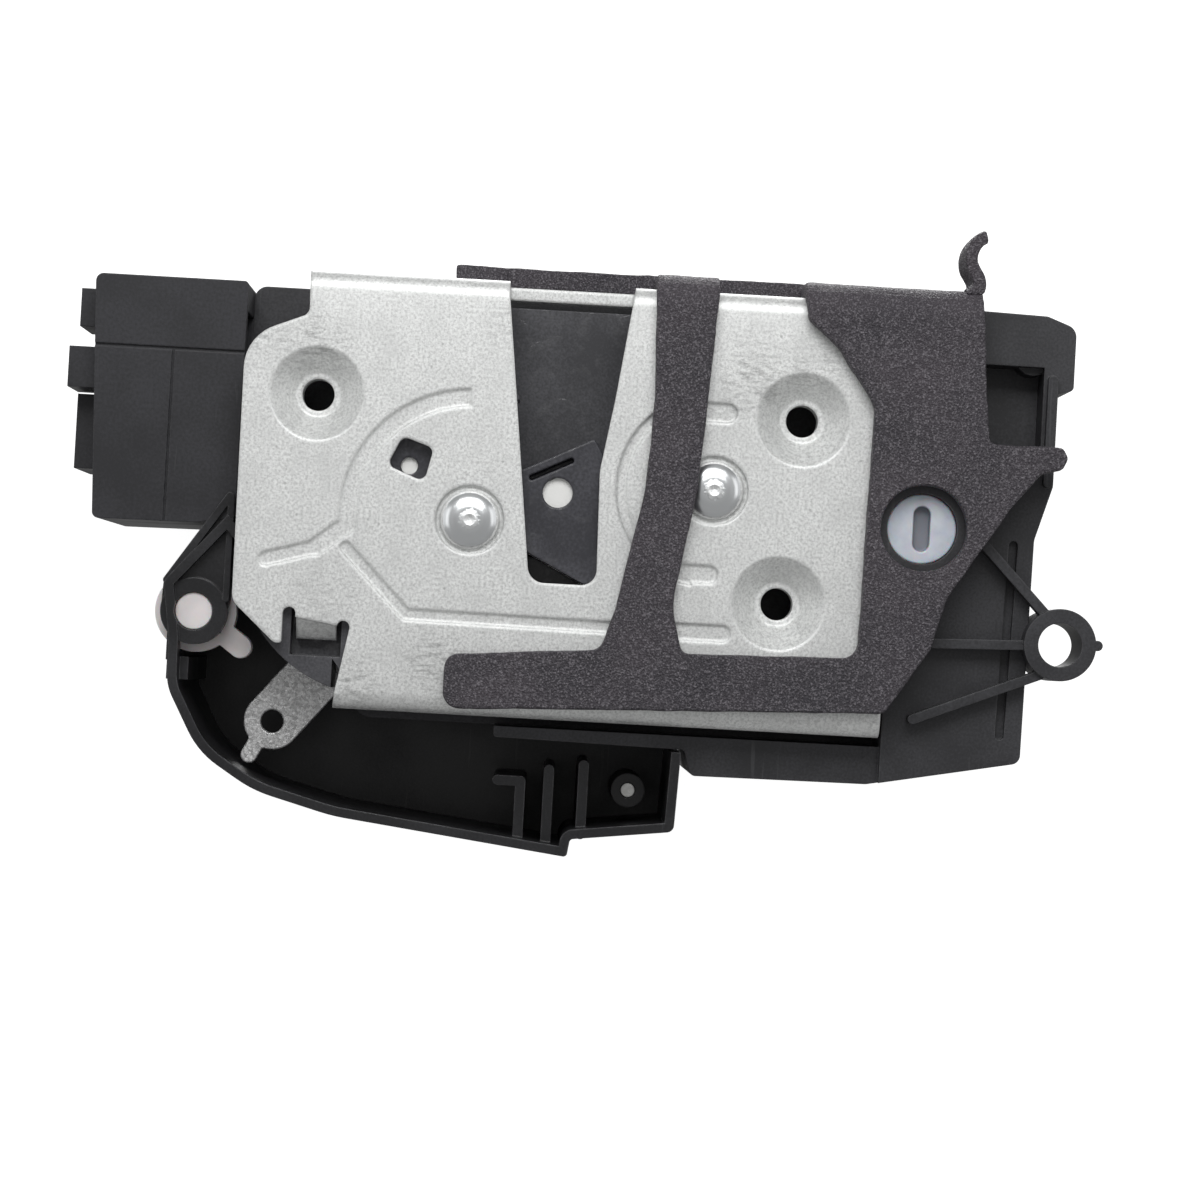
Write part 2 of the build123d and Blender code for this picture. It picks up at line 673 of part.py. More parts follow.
def lift_lever():
    """Flat lever behind the back plate, which turns with the pawl."""
    pin_point = about(lift_pin_place, pawl_pivot, pawl_open_angle)
    face = disc(pawl_pivot, pawl_hub_radius) + strip(pawl_pivot, pin_point, lift_pin_radius + lift_pin_wall)
    face += strip(pin_point, lift_end, lift_half_width)
    face -= disc(pawl_pivot, tenon_radius + running_fit)
    return slab(face, lever_front, lever_back) - lift_pin()


# ================================================================ housing and back plate
def housing_outline():
    """The housing behind the plate, with the round guide that the release lever swings past."""
    guide = disc(release_pivot, guide_radius) & place(guide_middle) * Rectangle(*guide_size)
    body = outline([
        (-38.9, housing_top, 1.0),
        (-38.7, 32.2, 1.5),
        (plate_left + housing_inset, 27.8, 6.0),
        (plate_left + housing_inset, -10.0, 1.0),
        (-40.0, -12.0, 0),
        (-31.0, housing_bottom, 0),
        (housing_right, housing_bottom, 1.0),
        (housing_right, 24.4, 5.0),
        (35.0, 35.6, 1.0),
        (34.6, housing_top, 0.5),
    ])
    return body + guide


def pawl_rest_and_in():
    rest = place(pawl_pivot, pawl_open_angle) * (place((-pawl_pivot[0], -pawl_pivot[1])) * pawl_face())
    return rest + pawl_face()


def pin_path(room):
    """Drawing of the way the lift pin takes as the pawl swings."""
    return strip(lift_pin_place, about(lift_pin_place, pawl_pivot, pawl_open_angle), lift_pin_radius + room)


def latch_housing():
    """Moulded housing with the pockets that the claw and the pawl swing in."""
    body = slab(housing_outline(), plate_thick, housing_back)
    room = place(claw_pivot) * (sector(claw_arm_radius + claw_room, room_start, room_end)
                                + Circle(claw_side_radius + side_room))
    pockets = room + offset(pawl_rest_and_in(), amount=pawl_room)
    body -= slab(pockets, 0, pocket_floor)
    channel = mouth(mouth_margin)
    body -= slab(channel, 0, channel_back)
    for point in screw_holes.values():
        body -= post(point, dimple_radius + dimple_room, 0, dimple_depth + dimple_depth_room)
        body -= post(point, screw_room, 0, housing_back + 1)
    for point, angle in ((claw_pivot, torsion_start["claw"]), (pawl_pivot, torsion_start["pawl"])):
        body -= post(point, rivet_radius, 0, housing_back + 1)
        groove = disc(point, torsion_coil + 2 * spring_wire) + strip(
            point, about((point[0] + torsion_coil + torsion_leg, point[1]), point, angle), spring_groove_half)
        body -= slab(groove, pocket_floor - 1, housing_back - spring_groove_depth)
    body -= slab(pin_path(easy_gap), 0, housing_back + 1)
    body -= block(tab_left - tab_side_room, tab_right + tab_side_room, tab_end - tab_end_room, tab_root + 1,
                  0, plate_thick + tab_drop + 1)
    sx, sz = ajar_switch_place
    body -= block(sx - switch_size[0] / 2, sx + switch_size[0] / 2, sz - switch_size[1] / 2,
                  sz + switch_size[1] / 2, 0, pocket_floor)
    body -= block(sx, sx + switch_run, sz - switch_plunger - free_gap, sz + switch_plunger + free_gap, 0,
                  pocket_floor)
    key_reach = math.dist(key_arm_end, key_pivot) + key_arm_half + easy_gap
    return body - post(key_pivot, key_reach, key_disc_front - free_gap, housing_back + 1)


def back_plate():
    """Steel plate that closes the latch and carries both rivets and the lever pins."""
    body = slab(outline(back_plate_outline), housing_back, back_plate_back)
    for point in (claw_pivot, pawl_pivot):
        body -= post(point, tenon_radius, 0, back_plate_back + 1)
    for point in (release_pivot, inside_pivot):
        body -= post(point, release_pin_radius, 0, back_plate_back + 1)
    for point in screw_holes.values():
        body -= post(point, screw_room, 0, back_plate_back + 1)
    for peg in (release_spring_peg, inside_spring_peg):
        body += post(peg, peg_radius, back_plate_back, lever_back + 2 * spring_lift)
    return body - slab(pin_path(easy_gap), 0, back_plate_back + 1)


def ridged_bumper():
    """Rubber bumper at the bottom of the striker's way, ribbed across."""
    body = slab(outline(bumper_outline), pocket_floor + bumper_bed, channel_back)
    for i in range(bumper_ridges):
        share = (i + 0.5) / bumper_ridges
        point = (bumper_start[0] + share * (bumper_end[0] - bumper_start[0]),
                 bumper_start[1] + share * (bumper_end[1] - bumper_start[1]))
        body += post(point, bumper_ridge, pocket_floor + bumper_bed, channel_back)
    return body & slab(mouth(mouth_margin), 0, channel_back)


def ajar_switch():
    """Switch in the housing that tells whether the door is ajar."""
    sx, sz = ajar_switch_place
    w, h = switch_size[0] / 2, switch_size[1] / 2
    body = block(sx - w, sx + w, sz - h, sz + h, claw_front, pocket_floor)
    return body - block(sx + w - switch_mouth_depth, sx + w + 1, sz - switch_plunger - running_fit,
                        sz + switch_plunger + running_fit, claw_front + switch_slot_low - running_fit,
                        claw_front + switch_slot_high + running_fit)


def ajar_plunger():
    sx, sz = ajar_switch_place
    end = sx + switch_size[0] / 2
    return block(end - easy_gap, end + switch_travel + easy_gap, sz - switch_plunger, sz + switch_plunger,
                 claw_front + switch_slot_low, claw_front + switch_slot_high)


# ================================================================ levers
def lever_pin(point):
    """Pin with a head that holds a lever against the back plate."""
    body = post(point, release_pin_radius, housing_back, lever_back + free_gap)
    return body + post(point, release_head_radius, lever_back + free_gap,
                       lever_back + free_gap + pin_head_thick)


def release_lever():
    """Outer release lever: a blade with a rod hole below, and an arm towards the lift lever."""
    blade = make_hull((disc(release_pivot, release_hub) + disc(blade_start, blade_half)).edges())
    face = blade + strip(blade_start, blade_end, blade_half) + strip(tail_start, tail_end, tail_half)
    face += strip(release_pivot, release_arm_end, release_arm_half)
    face -= disc(release_pivot, release_pin_radius + running_fit)
    face -= disc(blade_end, rod_hole_radius)
    body = slab(face, lever_front, lever_back)
    return body + post(release_spring_hook, peg_radius, lever_back, lever_back + 2 * spring_lift)


def inside_lever():
    """Inside release lever, pulled by the inner handle's cable."""
    face = disc(inside_pivot, inside_hub) + strip(inside_pivot, inside_arm_end, inside_half)
    face += strip(inside_pivot, inside_cable_end, inside_half)
    face -= disc(inside_pivot, release_pin_radius + running_fit)
    face -= disc(inside_cable_end, cable_hole_radius)
    body = slab(face, lever_front, lever_back)
    return body + post(inside_spring_hook, peg_radius, lever_back, lever_back + 2 * spring_lift)


def key_lever():
    """White lever turned by the key cylinder's rod; its front pin shows in the tray's boss."""
    body = post(key_pivot, key_pin_radius, key_front, key_disc_front)
    body += post(key_pivot, key_disc_radius, key_disc_front, key_disc_front + key_disc_thick)
    body += slab(strip(key_pivot, key_arm_end, key_arm_half), key_disc_front, key_disc_front + key_disc_thick)
    return body


# ================================================================ actuator case
def case_face(inset=0.0):
    face = outline(case_outline)
    return offset(face, amount=-inset) if inset else face


def right_of_latch(face, inset=0.0):
    """The share of a face that lies beside the latch, right of the plate."""
    left = right_block_left + inset
    return face & (place((left + 50, 0)) * Rectangle(100, 120))


def actuator_case():
    """Moulded case behind the latch and beside it, open at the back."""
    body = slab(case_face(), case_front, case_rim)
    body += slab(right_of_latch(case_face()), right_face, case_front)
    body += slab(outline(platform_outline), 0, right_face)
    body += slab(outline(lower_rail), lower_rail_front, case_inside)
    hollow = case_face(case_wall)
    body -= slab(hollow, case_inside, case_rim + 1)
    body -= slab(right_of_latch(hollow, case_wall), right_face + case_wall, case_inside + 1)
    body -= slab(offset(outline(platform_outline), amount=-case_wall), case_wall, right_face + case_wall + 1)
    body += post(knob_centre, knob_radius + collar_wall, 0, right_face + case_wall)
    body -= post(knob_centre, knob_radius + running_fit, -1, knob_front + knob_head + free_gap)
    body -= post(knob_centre, knob_shaft_radius + running_fit, 0, case_front)
    body += slab(strip(*wall_rib, rib_half), right_face - wall_rib_height, right_face + bed)
    x0, x1, z0, z1 = side_pocket
    around = (x0 - pocket_wall, x1 + pocket_wall, z0 - pocket_wall, z1 + pocket_wall)
    body += block(*around, right_face, pocket_floor_depth + pocket_wall)
    body -= block(*side_pocket, 0, pocket_floor_depth)
    body -= slab(strip(*face_groove, groove_half), 0, right_face + groove_depth)
    for point in cover_screw_places:
        foot = case_inside if point[0] < right_block_left else right_face + case_wall
        body += post(point, screw_boss, foot, cover_front) & slab(case_face(), 0, cover_front)
        body -= post(point, screw_core, cover_front - screw_depth, cover_front + 1)
    return body + inner_supports() - case_windows()


def side_mount_bracket():
    """Screw boss beside the case, with three ribs that brace it on the case's face."""
    body = post(side_mount, side_mount_outer, side_mount_front, side_mount_back)
    for a, b in face_ribs:
        body += slab(strip(a, b, rib_half), right_face - rib_height, right_face)
    body += slab(strip(side_mount, nib_end, nib_half), side_mount_front, side_mount_front + nib_thick)
    body -= post(side_mount, side_mount_bore, 0, side_mount_back + 1)
    return body - slab(case_face(), right_face, case_rim)


def worm_height():
    """Height of the motor's axis, from the centre distance of worm and gear."""
    pitch_radius = gear_module * gear_teeth / 2
    return gear_centre[1] + pitch_radius + (worm_outer + worm_root) / 2 + worm_backlash


def link_band():
    """Lowest and highest edge of the lock link."""
    middle = gear_centre[1] - crank_radius * (1 + math.cos(math.radians(gear_turn / 2))) / 2
    return middle - link_height / 2, middle + link_height / 2 - link_trim


def inner_supports():
    """Rails, saddles and posts that carry the lock drive, moulded on the case's inner wall."""
    low, high = link_band()
    height = worm_height()
    left, right = link_left - link_rail_ends, link_right - link_rail_ends
    back = link_front + link_thick
    body = block(left, right, low - guide_rail, low - free_gap, case_inside, back)
    for x0, x1 in ((left, link_rail_gap[0]), (link_rail_gap[1], right)):
        body += block(x0, x1, high + free_gap, high + guide_rail, case_inside, back)
    for x in link_posts:
        body += block(x - link_post_half, x + link_post_half, low - 1, high + 1, case_inside,
                      link_front - free_gap)
    for x in (motor_left + saddle_inset, motor_right - saddle_inset):
        for z in (height - motor_radius, height - saddle_low):
            body += block(x - saddle_half, x + saddle_half, z, z + saddle_height, case_inside,
                          gear_middle - motor_flat)
    body += block(bearing_post - bearing_half, bearing_post + bearing_half, height - bearing_low,
                  height + bearing_high, case_inside, gear_middle + bearing_back)
    body -= rod((bearing_post - 2 * bearing_half, gear_middle, height),
                (bearing_post + 2 * bearing_half, gear_middle, height), shaft_radius + running_fit)
    return body


def case_windows():
    """Slots for the link's finger and for the connector's tracks."""
    low, high = link_band()
    travel = 2 * crank_radius * math.sin(math.radians(gear_turn / 2))
    middle = (low + high) / 2
    slot = block(finger_left - travel - easy_gap, finger_right + easy_gap,
                 middle - finger_half_height - easy_gap,
                 middle + finger_half_height + easy_gap, case_front - 1, case_inside)
    window = block(shroud_right - shroud_wall - 1, shroud_right + case_wall + 1,
                   track_heights[0] - window_room,
                   track_heights[-1] + window_room, case_inside, case_inside + window_depth)
    return slot + window + post(gear_centre, gear_axle_radius, case_inside - 1, case_inside)


def cover_seal():
    """Rubber ring between case and cover."""
    return slab(case_face() - case_face(case_wall), case_rim, cover_front)


def actuator_cover():
    """Flat moulded cover with raised places over the motor and the gear."""
    body = slab(case_face(), cover_front, cover_back)
    body += slab(outline(motor_bulge), cover_back, cover_back + bulge_height)
    body += post(gear_centre, gear_bulge_radius, cover_back, cover_back + bulge_height)
    raised = cover_back + bulge_height
    for x in bulge_ribs:
        body += block(x - cover_rib_half, x + cover_rib_half, bulge_rib_low, bulge_rib_high, raised,
                      raised + bulge_rib_height)
    for x0, x1, z in cover_ribs:
        body += block(x0, x1, z - cover_rib_half, z + cover_rib_half, cover_back,
                      cover_back + cover_rib_height)
    for point in cover_screw_places:
        body -= post(point, screw_core + running_fit, 0, cover_back + 3)
    return body


def screw(point, seat, tip):
    """Thread-forming screw with a round head and a star drive, its head away from the latch."""
    head = post(point, screw_head_radius, seat, seat + screw_head_height)
    drive = slab(place(point) * RegularPolygon(drive_radius, 6), seat + screw_head_height - drive_depth,
                 seat + screw_head_height + 1)
    return head + post(point, screw_core, tip, seat) - drive


def cover_screws():
    return [screw(point, cover_back, cover_front - screw_depth) for point in cover_screw_places]


def child_lock_knob():
    """White knob with a coin slot and a cam behind the case wall."""
    cam_front = right_face + case_wall + free_gap
    body = post(knob_centre, knob_radius, knob_front, knob_front + knob_head)
    body += post(knob_centre, knob_shaft_radius, knob_front, cam_front + cam_thick)
    slot = place(knob_centre) * SlotOverall(knob_slot_length, knob_slot_width, rotation=90)
    body -= slab(slot, knob_front - 1, knob_front + knob_slot_depth)
    cam = strip(knob_centre, (knob_centre[0] + cam_reach - cam_half, knob_centre[1]), cam_half)
    return body + slab(cam, cam_front, cam_front + cam_thick)


# ================================================================ lock drive
def lock_motor():
    """Motor can with flat sides, front boss and shaft bore."""
    height = worm_height()
    face = Circle(motor_radius) & Rectangle(2 * motor_radius, 2 * motor_flat)
    can = Plane(origin=(motor_left, gear_middle, height), x_dir=(0, 0, 1), z_dir=(1, 0, 0)) * extrude(
        face, amount=motor_right - motor_left)
    boss = rod((motor_left - motor_boss_reach, gear_middle, height), (motor_left, gear_middle, height),
               motor_boss_radius)
    bore = rod((motor_left - 3, gear_middle, height), (motor_right + 1, gear_middle, height),
               shaft_radius + running_fit)
    return can + boss - bore


def motor_end_cap():
    height = worm_height()
    face = Circle(motor_radius - cap_step) & Rectangle(2 * motor_radius, 2 * (motor_flat - cap_step))
    cap = Plane(origin=(motor_right, gear_middle, height), x_dir=(0, 0, 1), z_dir=(1, 0, 0)) * extrude(
        face, amount=end_cap_length)
    end = motor_right + end_cap_length
    for z in contact_places:
        cap += block(end, end + contact_reach, height + z - contact_half, height + z + contact_half,
                     gear_middle - contact_thick, gear_middle + contact_thick)
    return cap - rod((motor_right - 1, gear_middle, height),
                     (motor_right + cap_bearing_depth, gear_middle, height), shaft_radius + running_fit)


def motor_shaft():
    height = worm_height()
    return rod((bearing_post - shaft_past, gear_middle, height),
               (motor_right + shaft_past, gear_middle, height), shaft_radius)


def tooth_half_at(height):
    """Half thickness of a rack tooth at a height above its pitch line."""
    return tooth_half - height * math.tan(math.radians(flank_angle))


def worm():
    """Worm on the motor's shaft: a core with one helical thread of trapezoidal section."""
    pitch = math.pi * gear_module
    height = worm_height()
    first = gear_centre[0] - (worm_threads_left + 0.5) * pitch
    turns = worm_threads_left + worm_threads_right
    middle = (worm_outer + worm_root) / 2
    path = Helix(pitch, pitch * turns, worm_root)
    low, high = worm_root - thread_sunk, worm_outer
    section = make_face(Polyline((low, tooth_half_at(low - middle)), (high, tooth_half_at(high - middle)),
                                 (high, -tooth_half_at(high - middle)), (low, -tooth_half_at(low - middle)),
                                 close=True))
    thread = sweep(Plane.XZ * section, path=path, is_frenet=True)
    thread = Plane(origin=(first, gear_middle, height), x_dir=(0, 0, -1), z_dir=(1, 0, 0)) * thread
    left, right = first - worm_end, first + turns * pitch + worm_end
    core = rod((left, gear_middle, height), (right, gear_middle, height), worm_root)
    return core + thread - rod((left - 1, gear_middle, height), (right + 1, gear_middle, height),
                               shaft_radius)


def lock_gear():
    """Worm wheel with an eccentric crank pin on its front face."""
    pitch_radius = gear_module * gear_teeth / 2
    root, tip = pitch_radius - tooth_root, pitch_radius + tooth_tip
    sunk, foot, top = root - thread_sunk, tooth_half_at(-tooth_root - thread_sunk), tooth_half_at(tooth_tip)
    tooth = make_face(Polyline((sunk, -foot), (tip, -top), (tip, top), (sunk, foot), close=True))
    face = Circle(root)
    for i in range(gear_teeth):
        face += place((0, 0), 90 + i * 360 / gear_teeth) * tooth
    front, back = gear_middle - gear_width / 2, gear_middle + gear_width / 2
    body = slab(place(gear_centre) * face, front, back)
    body += post(gear_centre, gear_hub_radius, back, back + gear_hub_height)
    body += post(crank_point(), crank_pin_radius, link_front - easy_gap, front)
    return body - post(gear_centre, gear_axle_radius + running_fit, 0, cover_back)


def crank_point():
    """Where the crank pin stands when the lock is open."""
    angle = math.radians(-90 + gear_turn / 2)
    return (gear_centre[0] + crank_radius * math.cos(angle), gear_centre[1] + crank_radius * math.sin(angle))


def gear_axle():
    return post(gear_centre, gear_axle_radius, case_inside - 1, cover_front)


def lock_link():
    """Slider that the crank pin drives, with a finger that reaches out to the levers."""
    low, high = link_band()
    pin = crank_point()
    middle = (low + high) / 2
    body = block(link_left, link_right, low, high, link_front, link_front + link_thick)
    body += block(finger_left, finger_right, middle - finger_half_height, middle + finger_half_height,
                  case_front - free_gap, link_front)
    drop = crank_radius * (1 - math.cos(math.radians(gear_turn / 2)))
    slot = strip((pin[0], pin[1] - drop), (pin[0], pin[1]), crank_pin_radius + crank_play)
    body -= slab(slot, link_front - 1, link_front + link_thick + 1)
    return body


def lock_switch():
    """Switch that tells where the lock link stands."""
    low, high = link_band()
    middle = (low + high) / 2
    body = block(switch_left, switch_right, middle - lock_switch_half, middle + lock_switch_half, case_inside,
                 link_front + lock_switch_height)
    room = switch_plunger + running_fit
    return body - block(switch_right - lock_switch_mouth, switch_right + 1, middle - room, middle + room,
                        link_front - plunger_step - running_fit, link_front + link_thick + running_fit)


def lock_plunger():
    low, high = link_band()
    middle = (low + high) / 2
    return block(switch_right - plunger_step, switch_right + switch_plunger_reach, middle - switch_plunger,
                 middle + switch_plunger, link_front - plunger_step, link_front + link_thick)


# ================================================================ connector
def socket_outline():
    """Drawing of the socket's opening."""
    left, right = shroud_left + shroud_left_wall, shroud_right - shroud_wall
    return outline([(left, socket_high, socket_round), (right, socket_high, 1.0), (right, socket_low, 1.0),
                    (left, socket_low, socket_round)])


def connector_shroud():
    """Box that guards the plug, with an open socket at the back and a hollow towards the latch."""
    body = slab(outline(shroud_outline), shroud_front, shroud_back)
    body -= block(shroud_left + shroud_left_wall, shroud_right + 1, hollow_low, hollow_high,
                  shroud_front + shroud_wall, case_front)
    body -= slab(socket_outline(), case_inside, shroud_back + 1)
    body -= block(shroud_right - shroud_wall - 1, shroud_right + 1, track_heights[0] - window_room,
                  track_heights[-1] + window_room,
                  case_inside, case_inside + window_depth)
    body -= block(shroud_left - 1, shroud_right + 1, seam_height - seam_width / 2,
                  seam_height + seam_width / 2,
                  shroud_front - 1, shroud_front + seam_depth)
    body -= block(*upright_seam, -1, seam_height, shroud_front - 1, shroud_front + seam_depth)
    for z0, z1, reach, front, back in shroud_lugs:
        body += block(shroud_left - reach, shroud_left + 1, z0, z1, front, back)
    return body


def connector_insert():
    """Block that holds the pins at the bottom of the socket."""
    front = case_inside + track_thick
    body = block(shroud_left, shroud_right, socket_low + insert_inset, socket_high - insert_inset, front,
                 front + insert_thick)
    body &= slab(socket_outline(), front, front + insert_thick)
    for pin in connector_pins():
        body -= pin
    return body


def connector_pins():
    """Two rows of blade pins."""
    front = case_inside + track_thick
    pins = []
    for x in pin_columns:
        for z in track_heights:
            pins.append(block(x - pin_thick, x + pin_thick, z - pin_width / 2, z + pin_width / 2, front,
                              front + pin_reach))
    return pins


def copper_tracks():
    """Stamped tracks from the pins to the motor and the switches, laid on the case's inner wall."""
    tracks = []
    for z, end in zip(track_heights, track_ends):
        tracks.append(block(pin_columns[0] - track_start, end, z - pin_width / 2, z + pin_width / 2,
                            case_inside,
                            case_inside + track_thick))
    return tracks


# ================================================================ guard tray
def guard_tray():
    """Open tray below the latch, with the key lever's boss and the cable clamp's ribs."""
    outer = outline(tray_outline)
    inner = offset(outer, amount=-tray_wall) + outline(tray_opening)
    body = slab(outer - inner, tray_front, tray_back)
    body += slab(outer, tray_back - tray_floor, tray_back)
    for a, b in tray_ribs:
        body += slab(strip(a, b, tray_rib_half), tray_front + tray_rib_sunk, tray_back)
    body += post(tray_screw_place, tray_boss, tray_boss_front, tray_back)
    body -= post(tray_screw_place, screw_core, 0, tray_back + 1)
    body += slab(outline(gusset_outline), gusset_front, gusset_front + gusset_thick)
    body += post(key_pivot, key_boss_radius, key_front - boss_step, gusset_front + gusset_thick)
    for a, b, half in gusset_rim:
        body += slab(strip(a, b, half), gusset_front - gusset_rim_height, gusset_front + bed)
    body += block(*gusset_foot, gusset_front + gusset_thick, tray_back - 1)
    body += block(*gusset_wall, gusset_front, tray_back - 1)
    body -= post(key_pivot, key_pin_radius + running_fit, 0, key_disc_front)
    body -= slab(case_face(), case_front, cover_back)
    reach = math.dist(key_arm_end, key_pivot) + key_arm_half + easy_gap
    swing = disc(key_pivot, reach) & place(key_swing_middle) * Rectangle(*key_swing_size)
    room = disc(key_pivot, key_disc_radius + easy_gap) + swing
    body -= slab(room, key_disc_front - free_gap, key_disc_front + key_disc_thick + easy_gap)
    body -= slab(housing_outline(), 0, housing_back)
    return body - slab(outline(shroud_outline), shroud_front, shroud_back)


# ================================================================ foam
def foam_gasket():
    """Self-adhesive foam that seals the latch against the door, wrapped over the top flange."""
    face = outline(foam_outline) - disc(knob_centre, knob_window)
    body = slab(face, -foam_thick, 0)
    top = block(foam_strip_left, flap_right, plate_top, plate_top + foam_strip_height, mouth_flange_depth,
                flange_reach)
    for left, right in ((band_left, band_right), (flap_left, flap_right)):
        top += block(left, right, plate_top, plate_top + foam_wrap, -foam_thick, flange_reach)
    way_in = slab(mouth(mouth_margin), -foam_thick - 1, channel_back)
    head_room = post(pawl_pivot, rivet_head_radius + bed_gap, -rivet_head_height - bed_gap, 0)
    return body + top - way_in - head_room


def foam_tail():
    """Loose end of the foam strip, curled upwards."""
    path = Spline(*tail_points)
    section = Plane(origin=path @ 0, z_dir=path % 0, x_dir=(0, 0, 1)) * Rectangle(tail_depth, tail_thick)
    flat = sweep(section, path=path)
    return Plane.XZ.offset(-tail_depth / 2) * flat - foam_gasket()


# ================================================================ write every node
def model():
    core = claw_core()
    pawl = pawl_core()
    return {
        "latch_plate": latch_plate(),
        "back_plate": back_plate(),
        "latch_housing": latch_housing(),
        "claw_core": core,
        "claw_overmould": claw_overmould(core),
        "claw_rivet": rivet(claw_pivot, back_plate_back),
        "claw_spring": torsion_spring(claw_pivot, pocket_floor + bed_gap, torsion_start["claw"]),
        "pawl_core": pawl,
        "pawl_overmould": pawl_overmould(pawl),
        "pawl_rivet": rivet(pawl_pivot, lever_back + free_gap),
        "pawl_spring": torsion_spring(pawl_pivot, pocket_floor + bed_gap, torsion_start["pawl"]),
        "pawl_lift_pin": lift_pin(),
        "pawl_lift_lever": lift_lever(),
        "striker_bumper": ridged_bumper(),
        "ajar_switch": ajar_switch(),
        "ajar_plunger": ajar_plunger(),
        "release_lever": release_lever(),
        "release_lever_pin": lever_pin(release_pivot),
        "release_spring": extension_spring(release_spring_hook, release_spring_peg, lever_back + spring_lift),
        "inside_lever": inside_lever(),
        "inside_lever_pin": lever_pin(inside_pivot),
        "inside_spring": extension_spring(inside_spring_hook, inside_spring_peg, lever_back + spring_lift),
        "key_lever": key_lever(),
        "actuator_case": actuator_case(),
        "side_mount": side_mount_bracket(),
        "cover_seal": cover_seal(),
        "actuator_cover": actuator_cover(),
        "cover_screws": cover_screws(),
        "child_lock_knob": child_lock_knob(),
        "lock_motor": lock_motor(),
        "motor_end_cap": motor_end_cap(),
        "motor_shaft": motor_shaft(),
        "worm": worm(),
        "lock_gear": lock_gear(),
        "gear_axle": gear_axle(),
        "lock_link": lock_link(),
        "lock_switch": lock_switch(),
        "lock_plunger": lock_plunger(),
        "connector_shroud": connector_shroud(),
        "connector_insert": connector_insert(),
        "connector_pins": connector_pins(),
        "copper_tracks": copper_tracks(),
        "guard_tray": guard_tray(),
        "tray_screw": screw(tray_screw_place, tray_back, tray_boss_front + 1),
        "foam_gasket": foam_gasket(),
        "foam_tail": foam_tail(),
    }


os.makedirs("parts", exist_ok=True)
for name, shape in model().items():
    solids = shape if isinstance(shape, list) else list(shape.solids())
    export_step(solids[0] if len(solids) == 1 else Compound(children=solids), f"parts/{name}.step")
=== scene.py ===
"""Looks of a vehicle door latch actuator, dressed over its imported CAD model."""

import bpy
import bmesh
import math
from mathutils import Matrix, Vector, noise


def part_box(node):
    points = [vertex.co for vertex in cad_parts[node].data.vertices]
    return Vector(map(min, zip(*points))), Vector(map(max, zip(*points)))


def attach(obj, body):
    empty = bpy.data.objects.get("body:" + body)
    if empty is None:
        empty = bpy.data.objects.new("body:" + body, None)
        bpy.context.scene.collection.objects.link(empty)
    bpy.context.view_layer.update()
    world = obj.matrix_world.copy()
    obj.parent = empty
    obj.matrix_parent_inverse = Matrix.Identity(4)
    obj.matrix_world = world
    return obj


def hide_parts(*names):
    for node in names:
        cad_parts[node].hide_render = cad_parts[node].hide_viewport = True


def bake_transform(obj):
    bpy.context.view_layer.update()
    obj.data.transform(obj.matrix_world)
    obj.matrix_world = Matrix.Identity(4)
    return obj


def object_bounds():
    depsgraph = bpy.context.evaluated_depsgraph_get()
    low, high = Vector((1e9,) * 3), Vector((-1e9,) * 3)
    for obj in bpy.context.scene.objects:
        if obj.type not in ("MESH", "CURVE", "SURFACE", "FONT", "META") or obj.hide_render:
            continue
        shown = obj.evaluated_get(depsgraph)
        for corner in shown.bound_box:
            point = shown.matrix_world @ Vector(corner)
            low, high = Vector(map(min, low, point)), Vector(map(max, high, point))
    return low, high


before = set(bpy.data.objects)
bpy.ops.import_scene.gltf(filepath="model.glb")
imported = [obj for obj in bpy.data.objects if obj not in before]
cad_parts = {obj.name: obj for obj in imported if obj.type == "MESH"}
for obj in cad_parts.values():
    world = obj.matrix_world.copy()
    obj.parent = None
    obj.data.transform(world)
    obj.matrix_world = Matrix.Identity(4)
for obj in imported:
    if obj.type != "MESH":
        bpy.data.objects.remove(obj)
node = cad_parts
cad_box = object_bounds()


# ---------------------------------------------------------------- latch housing
# The housing is a glass-filled nylon moulding behind the steel plate. Its floor shows through the
# striker's mouth: satin black, with faint flow lines, grease smears and softly rounded edges.
def shader_group(name, inputs, outputs):
    """An empty shader node group with named inputs and outputs, and its two end nodes."""
    group = bpy.data.node_groups.new(name, "ShaderNodeTree")
    for label, kind, value in inputs:
        group.interface.new_socket(label, in_out="INPUT", socket_type=kind).default_value = value
    for label, kind in outputs:
        group.interface.new_socket(label, in_out="OUTPUT", socket_type=kind)
    return group, group.nodes.new("NodeGroupInput"), group.nodes.new("NodeGroupOutput")


def add(tree, kind, links=(), **values):
    """A node of that kind. values set its properties or sockets, and links feed its sockets."""
    made = tree.nodes.new(kind)
    for key, value in values.items():
        if hasattr(made, key):
            setattr(made, key, value)
        else:
            made.inputs[key.replace("_", " ")].default_value = value
    for socket, source in dict(links).items():
        tree.links.new(source, made.inputs[socket])
    return made


def ramp(tree, source, low, high, start=0.0, end=1.0):
    """Maps source from low..high to start..end, clamped."""
    made = add(tree, "ShaderNodeMapRange", {0: source})
    for socket, value in zip((1, 2, 3, 4), (low, high, start, end)):
        made.inputs[socket].default_value = value
    return made.outputs[0]


